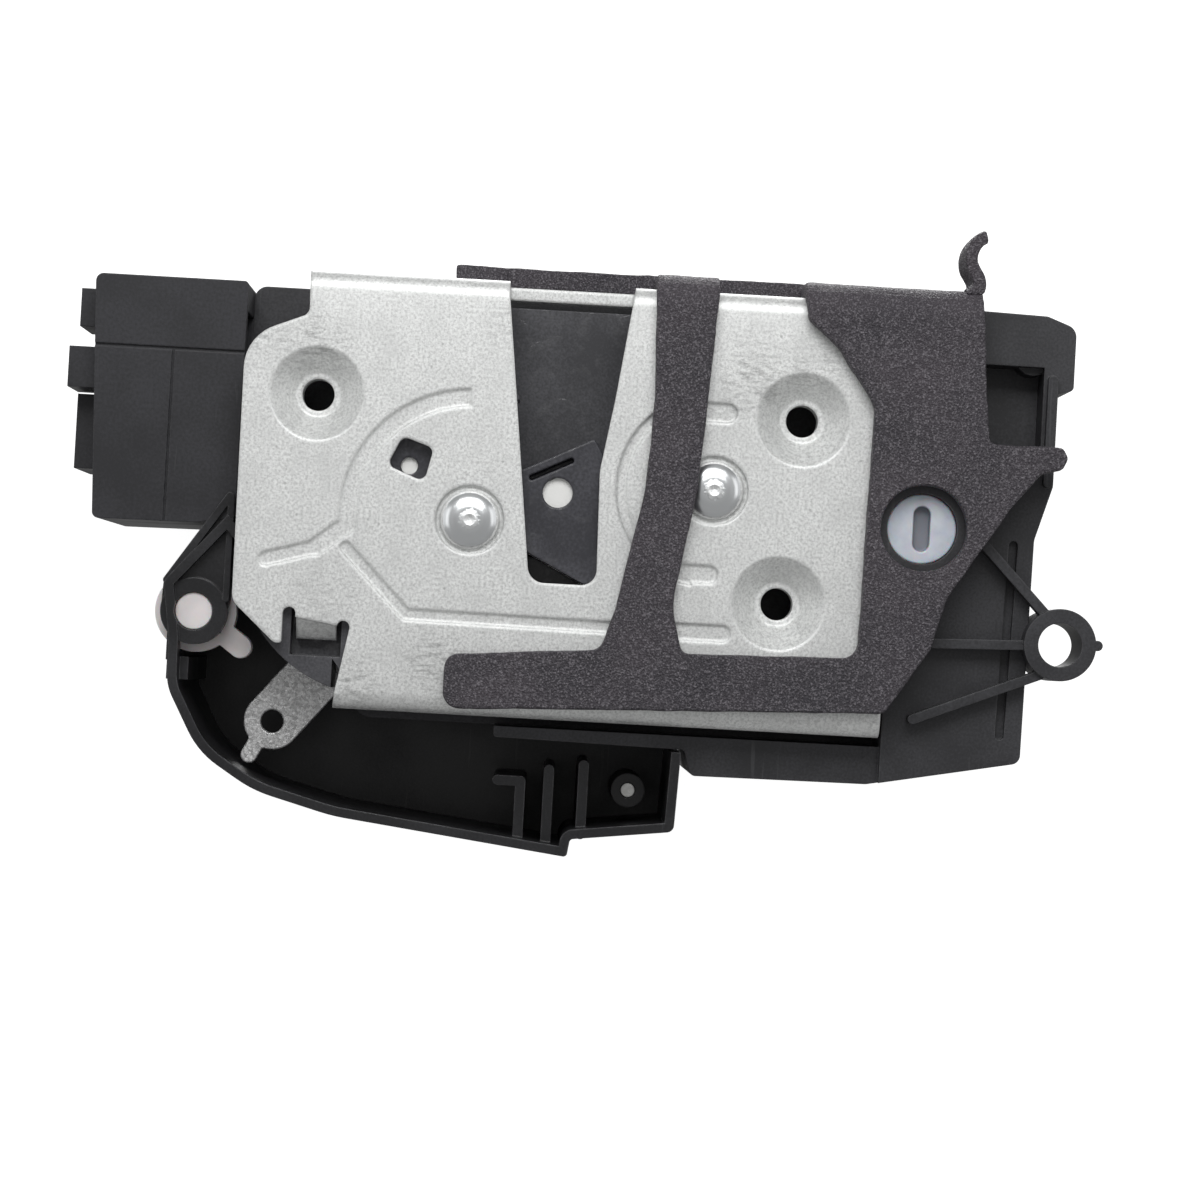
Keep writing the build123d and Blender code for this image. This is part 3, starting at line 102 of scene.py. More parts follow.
def moulded_grain():
    """Fine spark-eroded grain with slow waviness: a height for bump and a mask of duller patches."""
    tree, given, out = shader_group(
        "Moulded grain",
        [("Grain size", "NodeSocketFloat", 0.0004), ("Wave size", "NodeSocketFloat", 0.012)],
        [("Height", "NodeSocketFloat"), ("Dull patches", "NodeSocketFloat"),
         ("Scratches", "NodeSocketFloat")])
    place = add(tree, "ShaderNodeTexCoord").outputs["Object"]
    fine = add(tree, "ShaderNodeMath", {1: given.outputs["Grain size"]}, operation="DIVIDE")
    fine.inputs[0].default_value = 1.0
    slow = add(tree, "ShaderNodeMath", {1: given.outputs["Wave size"]}, operation="DIVIDE")
    slow.inputs[0].default_value = 1.0
    grain = add(tree, "ShaderNodeTexNoise", {"Vector": place, "Scale": fine.outputs[0]}, Detail=3.0)
    waves = add(tree, "ShaderNodeTexNoise", {"Vector": place, "Scale": slow.outputs[0]}, Detail=4.0)
    height = add(tree, "ShaderNodeMath", {0: grain.outputs[0], 1: waves.outputs[0]}, operation="MULTIPLY_ADD")
    height.inputs[2].default_value = 0.0
    turned = add(tree, "ShaderNodeMapping", {"Vector": place})
    turned.inputs["Rotation"].default_value = (0.4, 0.5, 0.6)
    turned.inputs["Scale"].default_value = (900.0, 60.0, 60.0)
    marks = add(tree, "ShaderNodeTexNoise", {"Vector": turned.outputs[0]}, Scale=1.0, Detail=2.0)
    tree.links.new(height.outputs[0], out.inputs["Height"])
    tree.links.new(ramp(tree, waves.outputs[0], 0.42, 0.66), out.inputs["Dull patches"])
    tree.links.new(ramp(tree, marks.outputs[0], 0.70, 0.78), out.inputs["Scratches"])
    return tree


def edge_highlight_and_wear():
    """A mask that is 1 on outer edges, for a painted highlight along them that also stands for polish and
    scuffs from handling.
    """
    tree, given, out = shader_group(
        "Edge highlight and wear", [("Width", "NodeSocketFloat", 0.0003)], [("Mask", "NodeSocketFloat")])
    rounded = add(tree, "ShaderNodeBevel", {"Radius": given.outputs["Width"]}, samples=4)
    flat = add(tree, "ShaderNodeNewGeometry")
    same = add(tree, "ShaderNodeVectorMath", {0: rounded.outputs[0], 1: flat.outputs["Normal"]},
               operation="DOT_PRODUCT")
    place = add(tree, "ShaderNodeTexCoord").outputs["Object"]
    patchy = add(tree, "ShaderNodeTexNoise", {"Vector": place}, Scale=900.0, Detail=3.0)
    edge = ramp(tree, same.outputs["Value"], 0.985, 0.86)
    mask = add(tree, "ShaderNodeMath", {0: edge, 1: ramp(tree, patchy.outputs[0], 0.35, 0.6, 0.25, 1.0)},
               operation="MULTIPLY")
    tree.links.new(mask.outputs[0], out.inputs["Mask"])
    return tree


GRAIN = moulded_grain()
EDGES = edge_highlight_and_wear()


def new_finish(name):
    """A node material with only its Principled shader and output, and the shader."""
    finish = bpy.data.materials.new(name)
    finish.use_nodes = True
    return finish, finish.node_tree, finish.node_tree.nodes["Principled BSDF"]


def use(tree, group, **values):
    """One use of a shared effect, with this material's own values."""
    made = tree.nodes.new("ShaderNodeGroup")
    made.node_tree = group
    for key, value in values.items():
        made.inputs[key.replace("_", " ")].default_value = value
    return made


def blend_colour(tree, mask, under, over):
    """under where the mask is 0 and over where it is 1; either may be a colour or a socket."""
    made = add(tree, "ShaderNodeMix", {0: mask}, data_type="RGBA")
    for socket, colour in ((6, under), (7, over)):
        if isinstance(colour, tuple):
            made.inputs[socket].default_value = (*colour, 1.0)
        else:
            tree.links.new(colour, made.inputs[socket])
    return made.outputs[2]


def black_moulding(name, colour, scuff_and_highlight, roughness, grain=0.0004, bump=0.35, depth=0.00006, grease=0.0):
    """Black engineering plastic: grained, uneven in gloss, greased or dry, and paler along its edges, a
    painted highlight that also stands for handling wear.
    """
    finish, tree, skin = new_finish(name)
    grained = use(tree, GRAIN, Grain_size=grain)
    edges = use(tree, EDGES)
    mottled = blend_colour(tree, ramp(tree, grained.outputs["Height"], 0.18, 0.36),
                           tuple(c * 0.72 for c in colour), tuple(c * 1.3 for c in colour))
    # Painted highlight along the edges, standing also for handling wear, in the scuff colour.
    edge_lit_and_worn = blend_colour(tree, edges.outputs["Mask"], mottled, scuff_and_highlight)
    marked = add(tree, "ShaderNodeMath", {0: grained.outputs["Scratches"]}, operation="MULTIPLY")
    marked.inputs[1].default_value = 0.35
    tree.links.new(blend_colour(tree, marked.outputs[0], edge_lit_and_worn, scuff_and_highlight), skin.inputs["Base Color"])
    tree.links.new(ramp(tree, grained.outputs["Dull patches"], 0.0, 1.0, roughness - 0.05, roughness + 0.07),
                   skin.inputs["Roughness"])
    rolled = add(tree, "ShaderNodeBevel", Radius=0.0003, samples=4)
    rough = add(tree, "ShaderNodeBump", {"Height": grained.outputs["Height"], "Normal": rolled.outputs[0]},
                Strength=bump, Distance=depth)
    tree.links.new(rough.outputs[0], skin.inputs["Normal"])
    if grease:
        smear = add(tree, "ShaderNodeTexNoise", {"Vector": add(tree, "ShaderNodeTexCoord").outputs["Object"]},
                    Scale=260.0, Detail=3.0, Distortion=1.5)
        tree.links.new(ramp(tree, smear.outputs[0], 0.55, 0.62, 0.0, grease), skin.inputs["Coat Weight"])
        skin.inputs["Coat Roughness"].default_value = 0.12
        lumps = add(tree, "ShaderNodeBump", {"Height": smear.outputs[0], "Normal": rolled.outputs[0]},
                    Strength=0.35, Distance=0.0008)
        tree.links.new(lumps.outputs[0], skin.inputs["Coat Normal"])
    return finish


def crisp_faces():
    """Node group that joins a mesh's loose faces, rounds its curved ones and keeps its edges crisp."""
    tree = bpy.data.node_groups.new("Crisp faces", "GeometryNodeTree")
    for name, way, kind in (("Geometry", "INPUT", "NodeSocketGeometry"), ("Join", "INPUT", "NodeSocketFloat"),
                            ("Angle", "INPUT", "NodeSocketFloat"),
                            ("Geometry", "OUTPUT", "NodeSocketGeometry")):
        tree.interface.new_socket(name, in_out=way, socket_type=kind)
    source = add(tree, "NodeGroupInput")
    joined = add(tree, "GeometryNodeMergeByDistance", {"Geometry": source.outputs["Geometry"],
                                                       "Distance": source.outputs["Join"]})
    rounded = add(tree, "GeometryNodeSetShadeSmooth", {"Geometry": joined.outputs[0]}, domain="FACE")
    bend = add(tree, "GeometryNodeInputMeshEdgeAngle")
    sharp = add(tree, "FunctionNodeCompare",
                {"A": bend.outputs["Unsigned Angle"], "B": source.outputs["Angle"]}, operation="GREATER_THAN")
    crisp = add(tree, "GeometryNodeSetShadeSmooth", {"Geometry": rounded.outputs[0],
                                                     "Selection": sharp.outputs[0]}, domain="EDGE")
    crisp.inputs["Shade Smooth"].default_value = False
    add(tree, "NodeGroupOutput", {"Geometry": crisp.outputs[0]})
    return tree


CRISP = crisp_faces()


join_distance, crisp_angle, flat_angle = 2e-6, 25.0, 0.4


def wear(name, finish, edge=0.0, angle=35.0):
    """Gives a CAD node its finish and crisp faces, and eases its sharp edges by that width, if any.

    Broad mouldings full of openings keep their own faces, since merging flats there spans the openings.
    """
    piece = node[name]
    piece.data.materials.clear()
    piece.data.materials.append(finish)
    for old in ("custom_normal", "sharp_face"):
        if old in piece.data.attributes:
            piece.data.attributes.remove(piece.data.attributes[old])
    crisp = piece.modifiers.new("crisp faces", "NODES")
    crisp.node_group = CRISP
    crisp["Socket_1"] = join_distance
    crisp["Socket_2"] = math.radians(crisp_angle)
    if not edge:
        return
    flats = piece.modifiers.new("flats", "DECIMATE")
    flats.decimate_type = "DISSOLVE"
    flats.angle_limit = math.radians(flat_angle)
    ease = piece.modifiers.new("eased edges", "BEVEL")
    ease.width = edge
    ease.segments = 2
    ease.limit_method = "ANGLE"
    ease.angle_limit = math.radians(angle)
    ease.use_clamp_overlap = False
    ease.loop_slide = False
    ease.harden_normals = True
    ease.miter_outer = "MITER_ARC"


NYLON = black_moulding("Black nylon", (0.060, 0.060, 0.067), (0.085, 0.085, 0.09), 0.40, grease=0.8)
wear("latch_housing", NYLON)
wear("ajar_switch", NYLON, 0.0002)

# ---------------------------------------------------------------- claw
# The claw is a blanked steel rotor, overmoulded with polyurethane so that it closes quietly. The
# damping slit by its mouth is open, and a sight hole leaves a disc of bare steel showing.
def bare_steel(name, colour, roughness, grain_scale, metal=1.0, stain=(0.20, 0.17, 0.13)):
    """Oiled, blanked steel: fine rolling grain with a few dark oil stains."""
    finish, tree, skin = new_finish(name)
    place = add(tree, "ShaderNodeTexCoord").outputs["Object"]
    fine = add(tree, "ShaderNodeTexNoise", {"Vector": place}, Scale=grain_scale, Detail=4.0)
    slow = add(tree, "ShaderNodeTexNoise", {"Vector": place}, Scale=160.0, Detail=5.0)
    tone = blend_colour(tree, ramp(tree, slow.outputs[0], 0.55, 0.8), colour, stain)
    edges = use(tree, EDGES)
    # Painted highlight: the steel is paler along its edges.
    edge_highlight_colour = tuple(min(1.0, c * 1.25) for c in colour)
    tree.links.new(blend_colour(tree, edges.outputs["Mask"], tone, edge_highlight_colour), skin.inputs["Base Color"])
    tree.links.new(ramp(tree, fine.outputs[0], 0.3, 0.7, roughness - 0.08, roughness + 0.1),
                   skin.inputs["Roughness"])
    rough = add(tree, "ShaderNodeBump", {"Height": fine.outputs[0]}, Strength=0.25, Distance=0.00004)
    tree.links.new(rough.outputs[0], skin.inputs["Normal"])
    skin.inputs["Metallic"].default_value = metal
    return finish


BLANKED = bare_steel("Blanked steel", (0.62, 0.62, 0.61), 0.42, 2600.0)
OVERMOULD = black_moulding("Claw overmould", (0.052, 0.052, 0.061), (0.07, 0.07, 0.08), 0.36, grain=0.0005,
                           grease=0.8)
wear("claw_core", bare_steel("Claw steel", (0.92, 0.92, 0.90), 0.5, 2600.0, metal=0.5), 0.00012)
wear("claw_overmould", OVERMOULD, 0.0003)

# ---------------------------------------------------------------- pawl
# The pawl is the same make as the claw. Its lift pin passes through the housing to a steel lever
# that the inside and outside releases push.
wear("pawl_core", BLANKED, 0.00012)
wear("pawl_overmould", OVERMOULD, 0.0003)
wear("pawl_lift_pin", BLANKED)
wear("pawl_lift_lever", BLANKED, 0.0002)

# ---------------------------------------------------------------- pivot rivets
# Cold-headed pins with domed, bright zinc heads, set from the front. Each head has a small
# orbital-forming mark at its middle.
def bright_head(name, centres):
    """Bright zinc with a roughened forming mark at each centre, given as x, z in metres."""
    finish, tree, skin = new_finish(name)
    place = add(tree, "ShaderNodeTexCoord").outputs["Object"]
    split = add(tree, "ShaderNodeSeparateXYZ", {0: place})
    fine = add(tree, "ShaderNodeTexNoise", {"Vector": place}, Scale=1800.0, Detail=5.0)
    reach = None
    for x, z in centres:
        across = add(tree, "ShaderNodeMath", {0: split.outputs["X"]}, operation="SUBTRACT")
        across.inputs[1].default_value = x
        up = add(tree, "ShaderNodeMath", {0: split.outputs["Z"]}, operation="SUBTRACT")
        up.inputs[1].default_value = z
        squared = add(tree, "ShaderNodeMath", {0: across.outputs[0], 1: across.outputs[0]},
                      operation="MULTIPLY")
        total = add(tree, "ShaderNodeMath", {0: up.outputs[0], 1: up.outputs[0], 2: squared.outputs[0]},
                    operation="MULTIPLY_ADD")
        far = add(tree, "ShaderNodeMath", {0: total.outputs[0]}, operation="SQRT").outputs[0]
        reach = far if reach is None else add(
            tree, "ShaderNodeMath", {0: reach, 1: far}, operation="MINIMUM").outputs[0]
    wavy = add(tree, "ShaderNodeMath", {0: fine.outputs[0], 2: reach}, operation="MULTIPLY_ADD")
    raggedness, mark_edge, mark_core = 0.0016, 0.0024, 0.0016
    wavy.inputs[1].default_value = raggedness
    mark = ramp(tree, wavy.outputs[0], mark_edge, mark_core)
    tone = blend_colour(tree, mark, (0.80, 0.82, 0.83), (0.93, 0.94, 0.94))
    tree.links.new(tone, skin.inputs["Base Color"])
    tree.links.new(ramp(tree, mark, 0.0, 1.0, 0.28, 0.5), skin.inputs["Roughness"])
    lumps = add(tree, "ShaderNodeMath", {0: fine.outputs[0], 1: mark}, operation="MULTIPLY")
    relief = add(tree, "ShaderNodeBump", {"Height": lumps.outputs[0]}, Strength=0.8, Distance=0.0003)
    tree.links.new(relief.outputs[0], skin.inputs["Normal"])
    skin.inputs["Metallic"].default_value = 1.0
    return finish


def head_middle(rivet):
    """The x and z of a round head's middle."""
    least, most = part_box(rivet)
    return 0.5 * (least.x + most.x), 0.5 * (least.z + most.z)


RIVETS = ("claw_rivet", "pawl_rivet")
RIVET = bright_head("Rivet zinc", [head_middle(rivet) for rivet in RIVETS])
for rivet in RIVETS:
    wear(rivet, RIVET)

# ---------------------------------------------------------------- latch plate and back plate
# The latch plate is 2 mm pressed steel, zinc plated to a pale speckled grey. Handling leaves dark
# rubs beside the dimples and the foam, and the drawn dimples are brighter and finer in grain.
def zinc_sheet(name, colour, rubs, metal=0.55, roughness=0.46):
    """Zinc plating: pale crystals, dark pin specks, and rubs of the given x, z, radius and strength."""
    finish, tree, skin = new_finish(name)
    place = add(tree, "ShaderNodeTexCoord").outputs["Object"]
    cells = add(tree, "ShaderNodeTexNoise", {"Vector": place}, Scale=2300.0, Detail=2.0, Roughness=0.7)
    slow = add(tree, "ShaderNodeTexNoise", {"Vector": place}, Scale=150.0, Detail=6.0, Roughness=0.7)
    specks = add(tree, "ShaderNodeTexVoronoi", {"Vector": place}, Scale=420.0)
    dark = tuple(c * 0.76 for c in colour)
    pale = tuple(min(1.0, c * 1.10) for c in colour)
    tone = blend_colour(tree, ramp(tree, cells.outputs[0], 0.34, 0.60), dark, pale)
    cloudy = blend_colour(tree, ramp(tree, slow.outputs[0], 0.42, 0.75, 0.0, 0.55), tone, dark)
    speck = ramp(tree, specks.outputs["Distance"], 0.11, 0.05, 0.0, 0.5)
    toned = blend_colour(tree, speck, cloudy, tuple(c * 0.45 for c in colour))
    streaks = add(tree, "ShaderNodeMapping", {"Vector": place})
    streaks.inputs["Rotation"].default_value = (0.0, 0.5, 0.0)
    streaks.inputs["Scale"].default_value = (1.0, 1.0, 3.5)
    dirt = add(tree, "ShaderNodeTexNoise", {"Vector": streaks.outputs[0]}, Scale=420.0, Detail=6.0,
               Roughness=0.75)
    dirty = ramp(tree, dirt.outputs[0], 0.47, 0.72)
    for x, z, radius, strength in rubs:
        spot = add(tree, "ShaderNodeVectorMath", {0: place}, operation="DISTANCE")
        spot.inputs[1].default_value = (x, 0.0, z)
        near = ramp(tree, spot.outputs["Value"], radius, radius * 0.25, 0.0, strength)
        mask = add(tree, "ShaderNodeMath", {0: near, 1: dirty}, operation="MULTIPLY")
        toned = blend_colour(tree, mask.outputs[0], toned, (0.12, 0.12, 0.12))
    # Painted highlight: the plating is paler along its edges.
    edges = use(tree, EDGES, Width=0.0004)
    tree.links.new(blend_colour(tree, edges.outputs["Mask"], toned, pale), skin.inputs["Base Color"])
    tree.links.new(ramp(tree, cells.outputs[0], 0.3, 0.7, roughness - 0.08, roughness + 0.12),
                   skin.inputs["Roughness"])
    rolled = add(tree, "ShaderNodeBevel", Radius=0.0007, samples=6)
    rough = add(tree, "ShaderNodeBump", {"Height": cells.outputs[0], "Normal": rolled.outputs[0]},
                Strength=0.35, Distance=0.00006)
    tree.links.new(rough.outputs[0], skin.inputs["Normal"])
    skin.inputs["Metallic"].default_value = metal
    return finish


RUBS = [(-0.0390, 0.0290, 0.007, 0.8), (0.0290, 0.0290, 0.008, 0.8), (0.0260, 0.0235, 0.006, 0.5),
        (-0.0185, -0.0190, 0.007, 0.8), (-0.0310, -0.0230, 0.006, 0.7), (-0.0110, 0.0330, 0.004, 0.5),
        (-0.0365, -0.0100, 0.008, 0.4), (0.0385, 0.0300, 0.006, 0.6), (-0.0470, 0.0290, 0.006, 0.5)]
ZINC = zinc_sheet("Zinc sheet", (0.80, 0.81, 0.80), RUBS)
wear("latch_plate", ZINC)
wear("back_plate", zinc_sheet("Back plate zinc", (0.52, 0.53, 0.53), [], 0.8), 0.0002)

# ---------------------------------------------------------------- release levers
# Two blanked levers turn on shouldered pins behind the back plate. Their hot-dip zinc shows bright
# spangles, and the outer one reaches down to the rod's hole below the plate.
def spangled_zinc(name):
    """Bright zinc with crystal spangles that catch the light one by one."""
    finish, tree, skin = new_finish(name)
    place = add(tree, "ShaderNodeTexCoord").outputs["Object"]
    crystals = add(tree, "ShaderNodeTexVoronoi", {"Vector": place}, Scale=2700.0)
    fine = add(tree, "ShaderNodeTexNoise", {"Vector": place}, Scale=2600.0, Detail=3.0)
    value = add(tree, "ShaderNodeSeparateColor", {0: crystals.outputs["Color"]})
    tone = blend_colour(tree, value.outputs[0], (0.50, 0.50, 0.50), (1.0, 1.0, 1.0))
    tree.links.new(tone, skin.inputs["Base Color"])
    tree.links.new(ramp(tree, value.outputs[1], 0.0, 1.0, 0.22, 0.45), skin.inputs["Roughness"])
    height = add(tree, "ShaderNodeMath", {0: value.outputs[2], 1: fine.outputs[0]}, operation="ADD")
    rough = add(tree, "ShaderNodeBump", {"Height": height.outputs[0]}, Strength=0.8, Distance=0.0001)
    tree.links.new(rough.outputs[0], skin.inputs["Normal"])
    skin.inputs["Metallic"].default_value = 0.5
    return finish


SPANGLED = spangled_zinc("Spangled zinc")
wear("release_lever", SPANGLED, 0.0003)
wear("inside_lever", SPANGLED, 0.0003)
wear("release_lever_pin", BLANKED, 0.0002, 50)
wear("inside_lever_pin", BLANKED, 0.0002, 50)

# ---------------------------------------------------------------- springs
# Patented music-wire springs return the claw, the pawl and both levers. Drawn wire is darker than
# plated parts and shines. Each lever's spring hooks on a post of the lever and stretches with it.
WIRE = bare_steel("Spring wire", (0.36, 0.36, 0.37), 0.3, 3600.0)
for spring in ("claw_spring", "pawl_spring", "release_spring", "inside_spring"):
    wear(spring, WIRE)


def stretch(spring):
    """A fixed copy of a lever's spring, with its modifiers applied, shown in place of the spring."""
    whole = node[spring].evaluated_get(bpy.context.evaluated_depsgraph_get())
    piece = bpy.data.objects.new(spring + "_stretched", bpy.data.meshes.new_from_object(whole))
    bpy.context.scene.collection.objects.link(piece)
    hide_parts(spring)
    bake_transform(piece)


stretch("release_spring")
stretch("inside_spring")

# ---------------------------------------------------------------- key lever
# An off-white acetal lever behind the tray's boss. Its pin's end shows as a disc, faintly pink and
# matt, and its disc's rim as a crescent at the left.
def acetal(name, colour, roughness=0.5):
    """Natural acetal: waxy, a little translucent, with slow tone changes."""
    finish, tree, skin = new_finish(name)
    grained = use(tree, GRAIN, Grain_size=0.0003, Wave_size=0.004)
    dull = tuple(c * 0.9 for c in colour)
    tone = blend_colour(tree, grained.outputs["Dull patches"], colour, dull)
    tree.links.new(tone, skin.inputs["Base Color"])
    tree.links.new(ramp(tree, grained.outputs["Dull patches"], 0.0, 1.0, roughness - 0.06, roughness + 0.08),
                   skin.inputs["Roughness"])
    rough = add(tree, "ShaderNodeBump", {"Height": grained.outputs["Height"]}, Strength=0.15,
                Distance=0.00005)
    tree.links.new(rough.outputs[0], skin.inputs["Normal"])
    skin.inputs["Subsurface Weight"].default_value = 0.15
    skin.inputs["Subsurface Scale"].default_value = 0.001
    return finish


wear("key_lever", acetal("Key lever acetal", (0.86, 0.81, 0.81)), 0.0002)
ACETAL = acetal("Natural acetal", (0.74, 0.73, 0.70))
wear("ajar_plunger", ACETAL, 0.0001)

# ---------------------------------------------------------------- striker bumper
# A soft rubber block at the foot of the mouth, ridged where the striker lands. The rubber is
# smoother and shinier than the moulding around it.
RUBBER = black_moulding("Bumper rubber", (0.06, 0.06, 0.065), (0.12, 0.12, 0.125), 0.22, grain=0.0008)
wear("striker_bumper", RUBBER)

# ---------------------------------------------------------------- actuator case and cover
# The case wraps the back of the latch and stands beside it, with its cover screwed on behind over
# a rubber seal. Both are black and fine grained, and paler along their edges: a painted highlight, partly
# also handling wear.
CASE = black_moulding("Body plastic", (0.033, 0.033, 0.037), (0.10, 0.10, 0.105), 0.44)
wear("actuator_case", CASE)
wear("side_mount", CASE)
wear("cover_seal", RUBBER)
COVER = black_moulding("Cover plastic", (0.024, 0.024, 0.026), (0.10, 0.10, 0.105), 0.5)
wear("actuator_cover", COVER)
SCREW = bare_steel("Screw zinc", (0.72, 0.72, 0.70), 0.32, 2400.0)
wear("cover_screws", SCREW, 0.00015)

# ---------------------------------------------------------------- child-lock knob
# A milky, translucent nylon knob in a window of the foam. Its slot takes a key's tip, and its
# moulding lines and small scuffs show inside. The slot is painted darker towards its floor, as shade.
slot_mouth, slot_floor = 0.0014, 0.0028


def milky_nylon(name):
    """Translucent bluish white, glossy, with shallow flow marks, and painted shade deep in its slot."""
    finish, tree, skin = new_finish(name)
    place = add(tree, "ShaderNodeTexCoord").outputs["Object"]
    cloud = add(tree, "ShaderNodeTexNoise", {"Vector": place}, Scale=420.0, Detail=5.0)
    tone = blend_colour(tree, ramp(tree, cloud.outputs[0], 0.35, 0.7), (0.62, 0.66, 0.74), (0.74, 0.77, 0.83))
    depth = add(tree, "ShaderNodeSeparateXYZ", {0: place}).outputs["Y"]
    # Painted shade: the slot's colour darkens with depth, from its mouth to its floor.
    painted_slot_shade = ramp(tree, depth, slot_mouth, slot_floor)
    tree.links.new(blend_colour(tree, painted_slot_shade, tone, (0.27, 0.28, 0.32)), skin.inputs["Base Color"])
    tree.links.new(ramp(tree, cloud.outputs[0], 0.3, 0.7, 0.26, 0.42), skin.inputs["Roughness"])
    dents = add(tree, "ShaderNodeBump", {"Height": cloud.outputs[0]}, Strength=0.2, Distance=0.0002)
    tree.links.new(dents.outputs[0], skin.inputs["Normal"])
    skin.inputs["Subsurface Weight"].default_value = 0.5
    skin.inputs["Subsurface Scale"].default_value = 0.002
    return finish


wear("child_lock_knob", milky_nylon("Milky nylon"), 0.0003)

# ---------------------------------------------------------------- lock drive
# A small motor drives the lock through a brass worm and an acetal gear, whose crank pin moves the
# link. All of it is sealed in the case and shows only with the cover off.
wear("lock_motor", bare_steel("Motor can", (0.68, 0.68, 0.66), 0.3, 1500.0), 0.0003)
wear("motor_end_cap", NYLON, 0.0002)
wear("motor_shaft", BLANKED)
wear("worm", bare_steel("Worm brass", (0.72, 0.52, 0.22), 0.28, 1800.0, stain=(0.35, 0.22, 0.08)), 0.0001)
wear("lock_gear", ACETAL, 0.0001)
wear("gear_axle", BLANKED)
wear("lock_link", ACETAL, 0.0002)
wear("lock_switch", NYLON, 0.0002)
wear("lock_plunger", ACETAL, 0.0001)

# ---------------------------------------------------------------- wiring connector
# A boxed shroud at the left holds ten tinned pins in a moulded insert. Five copper tracks run from
# them into the case.
SHROUD = black_moulding("Shroud plastic", (0.020, 0.020, 0.024), (0.075, 0.075, 0.08), 0.5, grain=0.0005)
wear("connector_shroud", SHROUD)
wear("connector_insert", NYLON, 0.0002)
TINNED = bare_steel("Tinned copper", (0.78, 0.74, 0.66), 0.25, 2400.0, stain=(0.55, 0.40, 0.25))
wear("connector_pins", TINNED, 0.0001)
wear("copper_tracks", TINNED, 0.00005)

# ---------------------------------------------------------------- guard tray
# A deep open tray under the latch that guards the rods and the cable. Its curved wall is thin, and
# its rim is paler: a painted highlight, partly also handling wear. One screw holds it to the case.
TRAY = black_moulding("Tray plastic", (0.017, 0.017, 0.019), (0.11, 0.11, 0.115), 0.34)
wear("guard_tray", TRAY)
wear("tray_screw", SCREW, 0.00015)

# ---------------------------------------------------------------- foam gasket
# Closed-cell foam, die-cut and stuck over the plate, then wrapped over the top flange. Its skin is
# brown-black with a fine sparkle, its cut edges are open and matt, and its corners have rounded off.
def foam_skin(name):
    """Skinned foam: pimpled, dark, with warm tone changes and a fine sparkle."""
    finish, tree, skin = new_finish(name)
    place = add(tree, "ShaderNodeTexCoord").outputs["Object"]
    pimples = add(tree, "ShaderNodeTexNoise", {"Vector": place}, Scale=3400.0, Detail=3.0, Roughness=0.6)
    cells = add(tree, "ShaderNodeTexVoronoi", {"Vector": place}, Scale=3000.0)
    slow = add(tree, "ShaderNodeTexNoise", {"Vector": place}, Scale=60.0, Detail=4.0)
    warm = blend_colour(tree, ramp(tree, slow.outputs[0], 0.35, 0.65),
                        (0.036, 0.033, 0.040), (0.057, 0.049, 0.058))
    tone = blend_colour(tree, ramp(tree, pimples.outputs[0], 0.50, 0.70), warm, (0.19, 0.176, 0.195))
    tree.links.new(tone, skin.inputs["Base Color"])
    tree.links.new(ramp(tree, pimples.outputs[0], 0.35, 0.65, 0.75, 0.42), skin.inputs["Roughness"])
    height = add(tree, "ShaderNodeMath", {0: pimples.outputs[0], 1: cells.outputs["Distance"]},
                 operation="ADD")
    rough = add(tree, "ShaderNodeBump", {"Height": height.outputs[0]}, Strength=0.9, Distance=0.00025)
    tree.links.new(rough.outputs[0], skin.inputs["Normal"])
    return finish


FOAM = foam_skin("Foam skin")
flange_bend = 0.003
plate_least, plate_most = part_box("latch_plate")
bend_middle_y, bend_middle_z = plate_least.y + flange_bend, plate_most.z - flange_bend
pimple_scale, pimple_height, pimple_place = 900.0, 0.00004, Vector((3.0, 1.0, 2.0))


def soften(name, cad_name, cell, swell, wave):
    """A copy of a foam solid with rounded corners and a slightly uneven, crowned surface."""
    source = node[cad_name]
    mesh = source.data.copy()
    mesh.name = name
    piece = bpy.data.objects.new(name, mesh)
    bpy.context.scene.collection.objects.link(piece)
    work = bmesh.new()
    work.from_mesh(mesh)
    bmesh.ops.remove_doubles(work, verts=work.verts, dist=join_distance / 2)
    work.to_mesh(mesh)
    work.free()
    even = piece.modifiers.new("even cells", "REMESH")
    even.mode = "VOXEL"
    even.voxel_size = cell
    round_off = piece.modifiers.new("rounded corners", "SMOOTH")
    round_off.factor = 0.5
    round_off.iterations = 5
    baked = bpy.data.meshes.new_from_object(piece.evaluated_get(bpy.context.evaluated_depsgraph_get()))
    piece.modifiers.clear()
    piece.data = baked
    bpy.data.meshes.remove(mesh)
    outwards = [vertex.normal.copy() for vertex in baked.vertices]
    for vertex, normal in zip(baked.vertices, outwards):
        point = vertex.co.copy()
        up, forward = point.z - bend_middle_z, bend_middle_y - point.y
        if up > 0 and forward > 0:
            pull = max(up, forward) / math.hypot(up, forward)
            point.z, point.y = bend_middle_z + up * pull, bend_middle_y - forward * pull
        slow = noise.noise(point * wave)
        fine = noise.noise(point * pimple_scale + pimple_place)
        vertex.co = point + normal * (swell * slow + pimple_height * fine)
    baked.polygons.foreach_set("use_smooth", [True] * len(baked.polygons))
    baked.materials.clear()
    baked.materials.append(FOAM)
    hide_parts(cad_name)
    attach(piece, "root")
    return piece


soften("foam_gasket_soft", "foam_gasket", 0.00035, 0.00015, 220.0)
soften("foam_tail_soft", "foam_tail", 0.0003, 0.0001, 400.0)

